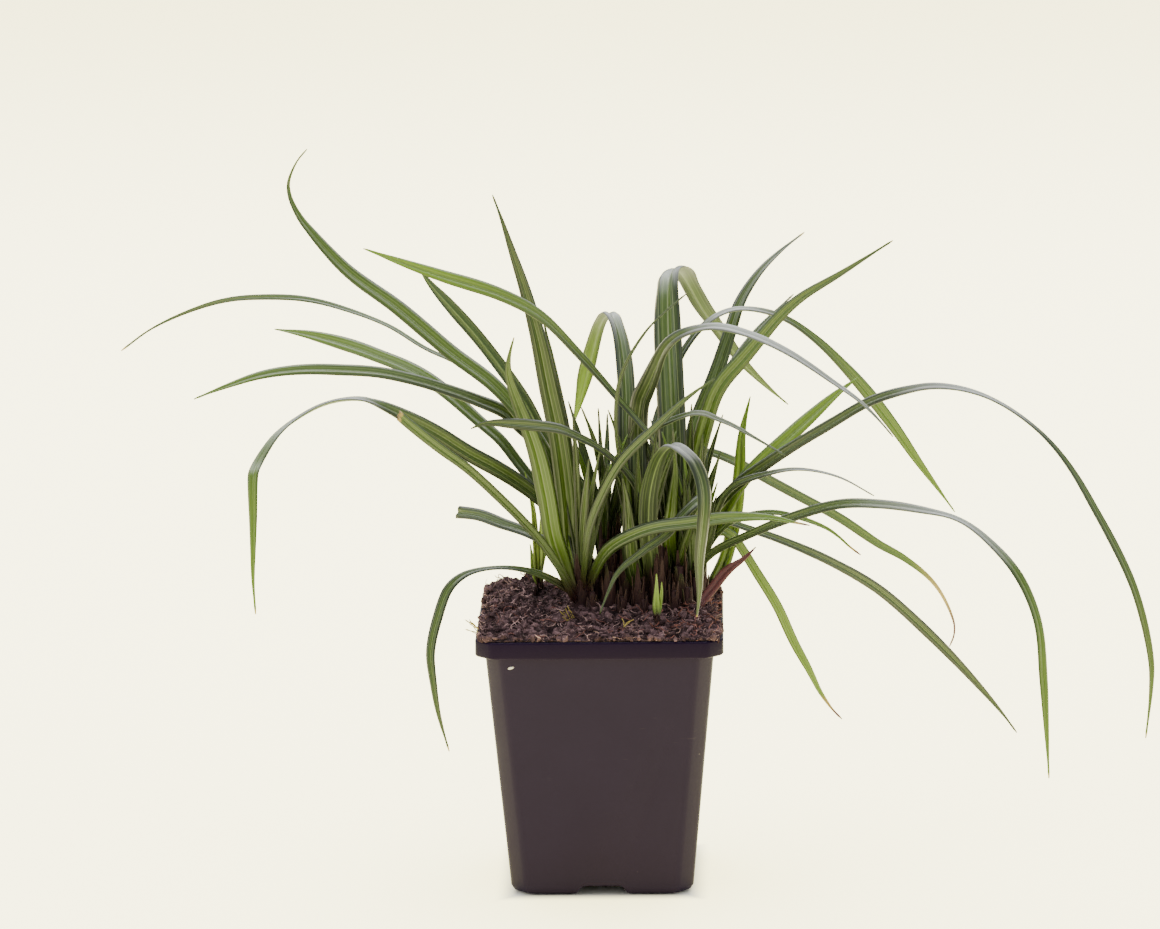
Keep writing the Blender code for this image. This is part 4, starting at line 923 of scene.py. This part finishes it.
def inner_leaves(name, rng):
    """Short leaves in the heart of a shoot, leaning a little to all sides."""
    (x, y), radius, _, _ = SHOOTS[name]
    root = (x * MM, y * MM, soil_height(x * MM, y * MM) + LEAF_START)
    leaves = []
    for number in range(INNER_LEAVES):
        turn = number * NEXT_TURN + rng.uniform(-0.4, 0.4)
        lean = rng.uniform(0.10, 0.26)
        rise = rng.uniform(26, 66)
        aside, back = math.cos(turn), math.sin(turn)
        route = []
        for share in (0.25, 0.5, 0.75, 1.0):
            away = radius * 0.8 * share + rise * lean * share**1.8
            face = rng.uniform(0.6, 0.95)
            route.append((x + aside * away, y + back * away, INNER_LOWEST + 0.2 * y + rise * share, face))
        look = "inner_bright" if number % 3 == 0 else "inner_dark"
        leaves.append(Leaf(name, look, root, rng.uniform(3.4, 5.4), 0.45, route))
    return leaves


def build_spent_sheaths(rng):
    """Old brown stems that have lost their leaves, which fill the foot of the clump."""
    stubs = []
    for number, (x, y, radius, sheath) in enumerate(SPENT_SHEATHS):
        stubs.append(sheath_cluster(x, y, radius, sheath, f"stub_{number}", rng))
    finish_piece(join_pieces(stubs, "spent_sheaths"), [SHEATH], "dry_sheath")


def build_plant():
    leaves = make_leaves()
    rng = np.random.default_rng(7)
    for name, ((x, y), radius, sheath, _) in SHOOTS.items():
        own = [leaf for leaf in leaves if leaf.shoot == name]
        if radius > 3:
            own += inner_leaves(name, rng)
        grown = [grown_leaf(leaf, number + x) for number, leaf in enumerate(own)]
        slots = {"spear_shoot": "fresh_leaf", "young_sprout": "fresh_leaf", "dry_sheath": "dry_sheath"}
        slot = slots.get(name, "leaf")
        finish_piece(join_pieces(grown, name + "_leaves"), None, slot, name)
        slim = 1.0 if radius > 3 else 0.62
        base = sheath_cluster(x, y, radius * slim, sheath * slim, name + "_sheaths", rng)
        finish_piece(base, [SHEATH], slot, name)
    build_spent_sheaths(rng)


def corner_clamp(x, y, half, corner):
    """Pulls a point of a square in behind the square's round corner."""
    over_x, over_y = abs(x) - (half - corner), abs(y) - (half - corner)
    if over_x > 0 and over_y > 0:
        far = math.hypot(over_x, over_y)
        if far > corner:
            x = math.copysign(half - corner + over_x * corner / far, x)
            y = math.copysign(half - corner + over_y * corner / far, y)
    return x, y


def fine_soil(x, y):
    """The soil surface with its heaps and the finer lumps that show close up."""
    place = Vector((x, y, 0.0))
    lumps = noise.noise(place / LUMP_SIZE + Vector((3, 1, 2)))
    grit = noise.noise(place / GRIT_SIZE + Vector((7, 5, 1)))
    clods = max(0.0, noise.noise(place / CLOD_SIZE + Vector((1, 9, 4))))
    height = soil_height(x, y) + LUMP_HEIGHT * lumps + GRIT_HEIGHT * grit + CLOD_HEIGHT * clods**1.4
    for heap_x, heap_y, reach, rise in SOIL_HEAPS:
        height += rise * math.exp(-((x - heap_x) ** 2 + (y - heap_y) ** 2) / reach**2)
    over = max(abs(x), abs(y)) - INNER_RIM + EDGE_FALL
    if over > 0:
        height = max(height - 0.6 * over, POT_HEIGHT + 0.0005 + 0.0006 * lumps)
    return height


def build_soil():
    """Peat: a grid laid over the pot and its rim, with its edge taken down inside the wall."""
    size = 2 * SOIL_REACH
    bpy.ops.mesh.primitive_grid_add(x_subdivisions=SOIL_STEPS, y_subdivisions=SOIL_STEPS, size=size)
    soil = start_piece("potting_soil")
    for vertex in soil.data.vertices:
        x, y = corner_clamp(vertex.co.x, vertex.co.y, SOIL_REACH, SOIL_CORNER)
        ragged = 1 - 0.011 * max(0.0, 0.4 + uneven(x, y, 0.5, 0.004))
        if max(abs(x), abs(y)) > INNER_RIM:
            x, y = x * ragged, y * ragged
        vertex.co = (x, y, fine_soil(x, y))
    open_mesh()
    bpy.ops.mesh.region_to_loop()
    shelf = POT_HEIGHT - RIM_HEIGHT + WALL + GAP
    below = wall_half(shelf) - WALL - GAP
    foot = wall_half(FLOOR) - WALL - GAP
    top = POT_HEIGHT + 0.0002
    for height, size in (
        (top, SOIL_REACH), (top, INNER_RIM), (shelf, INNER_RIM), (shelf, below), (FLOOR + GAP, foot)
    ):
        bpy.ops.mesh.extrude_edges_move()
        shape = bmesh.from_edit_mesh(soil.data)
        picked = [vertex for vertex in shape.verts if vertex.select]
        inward = min(1, size / max(abs(vertex.co.x) for vertex in picked))
        for vertex in picked:
            vertex.co = (vertex.co.x * inward, vertex.co.y * inward, height)
        bmesh.update_edit_mesh(soil.data)
    bpy.ops.mesh.edge_face_add()
    close_mesh()
    soil.data.shade_smooth()
    finish_piece(soil, [PEAT], "soil", "soil")


def wall_half(height):
    """Half the pot's outer width at a height below the rim."""
    share = height / (POT_HEIGHT - RIM_HEIGHT)
    return (BASE_WIDTH + (WALL_TOP_WIDTH - BASE_WIDTH) * share) / 2


def crumb_shapes(rng):
    """A few irregular lumps, each modelled from a small ball."""
    shapes = []
    for number in range(8):
        bpy.ops.mesh.primitive_ico_sphere_add(subdivisions=1, radius=1)
        lump = start_piece(f"crumb_{number}")
        for vertex in lump.data.vertices:
            vertex.co *= 1 + 0.45 * noise.noise(vertex.co * 1.3 + Vector((number * 5, 0, 0)))
        lump.scale = (1.0, rng.uniform(0.45, 0.9), rng.uniform(0.35, 0.7))
        settle(lump)
        shapes.append(lump)
    return shapes


def scattered(shapes, places, name):
    """Copies of the shapes, each with a mesh of its own, joined in one piece."""
    copies = []
    for number, matrix in enumerate(places):
        shape = shapes[number % len(shapes)]
        copy = bpy.data.objects.new(name, shape.data.copy())
        copy.data.transform(matrix)
        bpy.context.scene.collection.objects.link(copy)
        copies.append(copy)
    piece = join_pieces(copies, name)
    for shape in shapes:
        bpy.data.objects.remove(shape, do_unlink=True)
    return piece


def soil_spot(rng, spread=1.0):
    """A random place on the soil."""
    half = SOIL_REACH * spread
    x, y = rng.uniform(-half, half), rng.uniform(-half, half)
    x, y = corner_clamp(x, y, half, LOOSE_CORNER)
    return x, y, fine_soil(x, y)


def turned(rng, size, place, lean):
    """A placing matrix with a random turn."""
    turn = Matrix.Rotation(rng.uniform(0, 2 * math.pi), 4, "Z")
    turn = turn @ Matrix.Rotation(rng.uniform(-lean, lean), 4, "X")
    turn = turn @ Matrix.Rotation(rng.uniform(-lean, lean), 4, "Y")
    return Matrix.Translation(place) @ turn @ Matrix.Scale(size, 4)


def build_crumbs():
    rng = np.random.default_rng(3)
    places = []
    for _ in range(CRUMBS):
        x, y, height = soil_spot(rng)
        size = CRUMB_LEAST + CRUMB_MORE * rng.random() ** 3
        places.append(turned(rng, size, (x, y, height + size * 0.25), 1.4))
    crumbs = scattered(crumb_shapes(rng), places, "soil_crumbs")
    crumbs.data.shade_flat()
    finish_piece(crumbs, [CRUMB], "soil")


def fibre_shape(name, curl, rise, sides=4, steps=7):
    """A thin curled fibre, one unit long: a small ring extruded and turned step by step."""
    bpy.ops.mesh.primitive_circle_add(
        vertices=sides, radius=0.030, fill_type="NGON", rotation=(0, math.pi / 2, 0)
    )
    fibre = start_piece(name)
    bpy.ops.object.transform_apply(location=False, rotation=True, scale=False)
    open_mesh()
    place, heading, lift = Vector((0, 0, 0)), 0.0, 0.0
    for step in range(steps):
        ahead = Vector((math.cos(heading), math.sin(heading), lift)) / steps
        place += ahead
        bpy.ops.mesh.extrude_region_move(TRANSFORM_OT_translate={"value": ahead})
        bpy.ops.transform.rotate(value=curl, orient_axis="Z", center_override=place)
        if step == steps - 1:
            bpy.ops.transform.resize(value=(0.3, 0.3, 0.3), center_override=place)
        heading -= curl
        lift = rise * math.sin(step * 1.7)
    close_mesh()
    settle(fibre)
    return fibre


def build_fibres():
    """Curled peat fibres over the soil, and fine red roots, more of them towards the right."""
    rng = np.random.default_rng(11)
    kinds = (
        ("peat_fibres", FIBRES, FIBRE, 0.0022, 0.0060),
        ("dark_fibres", FIBRES // 2, DARK_FIBRE, 0.0030, 0.0070),
        ("red_roots", ROOTLETS, ROOTLET, 0.0035, 0.0080),
    )
    for name, count, material, short, long in kinds:
        curls = (0.1, 0.3, 0.5, -0.35, -0.2, 0.75)
        shapes = [fibre_shape(f"{name}_{number}", curl, 0.35) for number, curl in enumerate(curls)]
        places = []
        while len(places) < count:
            x, y, height = soil_spot(rng, 0.98)
            if name == "red_roots" and rng.random() > 0.15 + max(0.0, x / 0.045):
                continue
            size = rng.uniform(short, long)
            places.append(turned(rng, size, (x, y, height + 0.0003), 0.7))
        piece = scattered(shapes, places, name)
        clamp_inside(piece)
        finish_piece(piece, [material], "soil")


def build_straws():
    """Short dry straws that stick out of the soil beside the left shoot and over the left rim."""
    rng = np.random.default_rng(23)
    shapes = [fibre_shape(f"straw_{number}", curl, 0.2) for number, curl in enumerate((0.05, -0.12, 0.2))]
    places = []
    for x, y, lowest, highest, turn, count in STRAWS:
        for _ in range(count):
            spot_x, spot_y = (x + rng.uniform(-1, 1)) * MM, (y + rng.uniform(-1, 1)) * MM
            rise = Matrix.Rotation(-math.radians(rng.uniform(lowest, highest)), 4, "Y")
            face = Matrix.Rotation(math.radians(turn + rng.uniform(-35, 35)), 4, "Z")
            size = Matrix.Scale(rng.uniform(*STRAW_LENGTHS), 4)
            ground = Vector((spot_x, spot_y, fine_soil(spot_x, spot_y) - 0.0004))
            places.append(Matrix.Translation(ground) @ face @ rise @ size)
    finish_piece(scattered(shapes, places, "dry_straws"), [STRAW], "soil")


def build_grain():
    """A pale grain of grit that has stuck to the wall under the rim."""
    bpy.ops.mesh.primitive_ico_sphere_add(subdivisions=2, radius=1)
    grain = start_piece("stuck_grain")
    for vertex in grain.data.vertices:
        vertex.co *= 1 + 0.3 * noise.noise(vertex.co * 1.2)
    grain.scale = (0.0012, 0.0003, 0.0005)
    grain.rotation_euler = (0, -0.35, 0)
    grain.location = sight_point(GRAIN_ACROSS, -wall_half(GRAIN_HEIGHT), GRAIN_DRAWN)
    settle(grain)
    grain.data.shade_smooth()
    finish_piece(grain, [GRIT], "soil")


def clamp_inside(piece):
    """Keeps what lies on the soil inside the pot's rim."""
    for vertex in piece.data.vertices:
        x, y = corner_clamp(vertex.co.x, vertex.co.y, LOOSE_REACH, LOOSE_CORNER)
        vertex.co.x = max(-LOOSE_REACH, min(LOOSE_REACH, x))
        vertex.co.y = max(-LOOSE_REACH, min(LOOSE_REACH, y))
        if max(abs(vertex.co.x), abs(vertex.co.y)) > INNER_RIM:
            vertex.co.z = max(vertex.co.z, POT_HEIGHT + 0.0003)


def move_corners(mesh, change):
    """Moves each picked corner outwards, or inwards, along both sides of the pot."""
    shape = bmesh.from_edit_mesh(mesh)
    for vertex in shape.verts:
        if vertex.select:
            vertex.co.x += change * math.copysign(1, vertex.co.x)
            vertex.co.y += change * math.copysign(1, vertex.co.y)
    bmesh.update_edit_mesh(mesh)


def raise_face(pot, start, steps):
    """Extrudes the picked face through the steps, each a height and half a width, from the start."""
    height, half = start
    for next_height, next_half in steps:
        rise = (0, 0, next_height - height)
        bpy.ops.mesh.extrude_region_move(TRANSFORM_OT_translate={"value": rise})
        move_corners(pot.data, next_half - half)
        height, half = next_height, next_half


def build_pot():
    """The pot: a square with cut corners, raised step by step up the wall, over the rim and back in."""
    shelf = POT_HEIGHT - RIM_HEIGHT
    rim = RIM_WIDTH / 2
    steps = [
        (FOOT_ROUND * 0.3, wall_half(0) - FOOT_ROUND * 0.3),
        (FOOT_ROUND, wall_half(FOOT_ROUND)),
        (shelf, wall_half(shelf)),
        (shelf, rim - 0.0004),
        (shelf + RIM_LIP, rim),
        (POT_HEIGHT - RIM_LIP, rim),
        (POT_HEIGHT, rim - 0.0005),
        (POT_HEIGHT, rim - WALL),
        (shelf + WALL, rim - WALL),
        (shelf + WALL, wall_half(shelf) - WALL),
        (FLOOR, wall_half(FLOOR) - WALL),
    ]
    foot = wall_half(0) - FOOT_ROUND
    bpy.ops.mesh.primitive_plane_add(size=2 * foot)
    pot = start_piece("nursery_pot")
    open_mesh()
    bpy.ops.mesh.bevel(offset=CORNER_CUT, affect="VERTICES", segments=1)
    bpy.ops.mesh.select_all(action="SELECT")
    bpy.ops.mesh.bevel(offset=CORNER_ROUND, affect="VERTICES", segments=3)
    bpy.ops.mesh.select_all(action="SELECT")
    raise_face(pot, (0.0, foot), steps)
    close_mesh()
    cut_channels(pot)
    edges = pot.modifiers.new("worn_edges", "BEVEL")
    edges.width = EDGE_WEAR
    edges.segments = 2
    edges.limit_method = "ANGLE"
    edges.angle_limit = math.radians(25)
    apply_all(pot)
    bpy.ops.object.shade_smooth_by_angle(angle=math.radians(35))
    finish_piece(pot, [PLASTIC, RIM_PLASTIC], "pot", "pot")
    for face in pot.data.polygons:
        face.material_index = 1 if face.center.z > shelf + 0.0001 else 0


def cut_channels(pot):
    """Cuts the air channels into the underside, and a drain hole at the inner end of each."""
    cutters = []
    for side in range(4):
        turn = side * math.pi / 2
        outward = Vector((math.cos(turn), math.sin(turn), 0))
        length = BASE_WIDTH / 2 - CHANNEL_INNER + 0.01
        middle = outward * (CHANNEL_INNER + length / 2)
        bpy.ops.mesh.primitive_cube_add(size=1, location=middle, rotation=(0, 0, turn))
        channel = start_piece("channel")
        channel.scale = (length, CHANNEL_WIDTH, CHANNEL_HEIGHT * 2)
        settle(channel)
        for corner in channel.data.vertices:
            # Its sides lean in at the top and spread out at the foot
            sideways = outward.cross(Vector((0, 0, 1)))
            away = corner.co.dot(sideways)
            corner.co += sideways * away * (-0.12 if corner.co.z > 0 else 0.52)
        rounding = channel.modifiers.new("round", "BEVEL")
        rounding.width = CHANNEL_ROUND
        rounding.segments = 3
        apply_all(channel)
        cutters.append(channel)
        bpy.ops.mesh.primitive_cylinder_add(
            vertices=40, radius=DRAIN_RADIUS, depth=FLOOR * 3, location=outward * DRAIN_OFFSET
        )
        cutters.append(start_piece("drain"))
    for cutter in cutters:
        cut = pot.modifiers.new("cut", "BOOLEAN")
        cut.operation = "DIFFERENCE"
        cut.object = cutter
        apply_all(pot)
        bpy.data.objects.remove(cutter, do_unlink=True)


def build_stage():
    bpy.ops.mesh.primitive_plane_add(size=24, location=(0, 0, -0.0002))
    floor = start_piece("pale_floor")
    finish = Finish("pale_floor", roughness=0.8, specular=0.0)
    finish.level("Base Color", (0.80, 0.78, 0.66, 1))
    finish.level("Emission Color", (1.0, 0.90, 0.37, 1))
    # The floor glows evenly, but its glow fades out under and just round the pot's foot: a painted shadow
    # there
    where = finish.axis(finish.place("Object"), "X")
    depth = finish.axis(finish.place("Object"), "Y")
    away = finish.math("MAXIMUM", finish.math("ABSOLUTE", where), finish.math("ABSOLUTE", depth))
    finish.level("Emission Strength", finish.ramped(away, 0.031, 0.040, 0.0, 3.9))
    floor.data.materials.append(finish.material)
    world = bpy.data.worlds.new("studio")
    world.use_nodes = True
    sky = world.node_tree.nodes["Background"].inputs
    sky["Color"].default_value = (0.94, 0.95, 1.03, 1)
    sky["Strength"].default_value = 1.25
    bpy.context.scene.world = world
    lamps = (
        ("overhead", (0.0, 0.8, 1.6), 2.2, 95.0),
        ("left_panel", (-1.5, -0.7, 0.9), 1.0, 14.0),
        ("right_panel", (1.5, -0.6, 0.8), 1.0, 7.0),
    )
    for name, place, size, watts in lamps:
        light = bpy.data.lights.new(name, "AREA")
        light.size = size
        light.energy = watts
        lamp = bpy.data.objects.new(name, light)
        lamp.location = place
        aim = Vector((0, 0, 0.12)) - lamp.location
        lamp.rotation_euler = aim.to_track_quat("-Z", "Y").to_euler()
        bpy.context.scene.collection.objects.link(lamp)


def build_camera():
    """The camera stands at the eye that the routes are drawn for."""
    camera = bpy.data.cameras.new("camera")
    camera.sensor_width = SENSOR
    camera.lens = LENS
    camera.clip_end = 60.0
    holder = bpy.data.objects.new("camera", camera)
    turn = Matrix.Rotation(EYE_TURN, 4, "Z")
    dip = Matrix.Rotation(math.pi / 2 - EYE_DIP, 4, "X")
    tilt = Matrix.Rotation(-EYE_TILT, 4, "Z")
    holder.matrix_world = Matrix.Translation(EYE) @ turn @ dip @ tilt
    bpy.context.scene.collection.objects.link(holder)
    bpy.context.scene.camera = holder


# The colour of the painted sheen
SHEEN_COLOUR = (0.235, 0.245, 0.225, 1)
# The pale yellow-green of young leaves, which also stands for the strongest painted light from behind
FRESH_BACKLIT = (0.190, 0.270, 0.040, 1)
LEAF_TOP = leaf_finish(
    "leaf_upper_face",
    (
        (0.0035, 0.0060, 0.0018, 1), (0.0085, 0.0150, 0.0028, 1), (0.036, 0.064, 0.0075, 1),
        (0.140, 0.170, 0.075, 1), (0.085, 0.155, 0.002, 1)
    ),
    0.33, 0.24, 0.66
)
LEAF_UNDER = leaf_finish(
    "leaf_underside",
    (
        (0.010, 0.019, 0.004, 1), (0.017, 0.032, 0.0055, 1), (0.040, 0.072, 0.011, 1),
        (0.100, 0.145, 0.040, 1), (0.120, 0.215, 0.002, 1)
    ),
    0.5, 0.08, 0.30
)
SHEATH = sheath_finish()
PEAT = peat_finish(
    "peat", (0.0105, 0.0062, 0.0068, 1), (0.055, 0.033, 0.034, 1), (0.180, 0.118, 0.118, 1)
)
CRUMB = peat_finish(
    "peat_crumbs", (0.030, 0.0170, 0.0180, 1), (0.125, 0.075, 0.076, 1), (0.310, 0.210, 0.204, 1)
)
FIBRE = plain_finish("peat_fibre", (0.200, 0.128, 0.118), 0.8, 0.85, 120.0)
STRAW = plain_finish("dry_straw", (0.300, 0.230, 0.060), 0.7, 0.4, 160.0)
GRIT = plain_finish("pale_grit", (0.42, 0.40, 0.37), 0.7, 0.1, 300.0)
DARK_FIBRE = plain_finish("dark_peat_fibre", (0.040, 0.021, 0.020), 0.8, 0.5, 160.0)
ROOTLET = plain_finish("rootlet", (0.120, 0.050, 0.040), 0.7, 0.5, 160.0)
PLASTIC = pot_finish("dark_pot_plastic", (0.0106, 0.0069, 0.0162, 1), (0.0120, 0.0080, 0.0180, 1))
RIM_PLASTIC = pot_finish("dark_rim_plastic", (0.0050, 0.0018, 0.0092, 1), (0.0060, 0.0023, 0.0106, 1))

build_camera()
build_stage()
build_pot()
build_soil()
build_crumbs()
build_fibres()
build_straws()
build_grain()
build_plant()
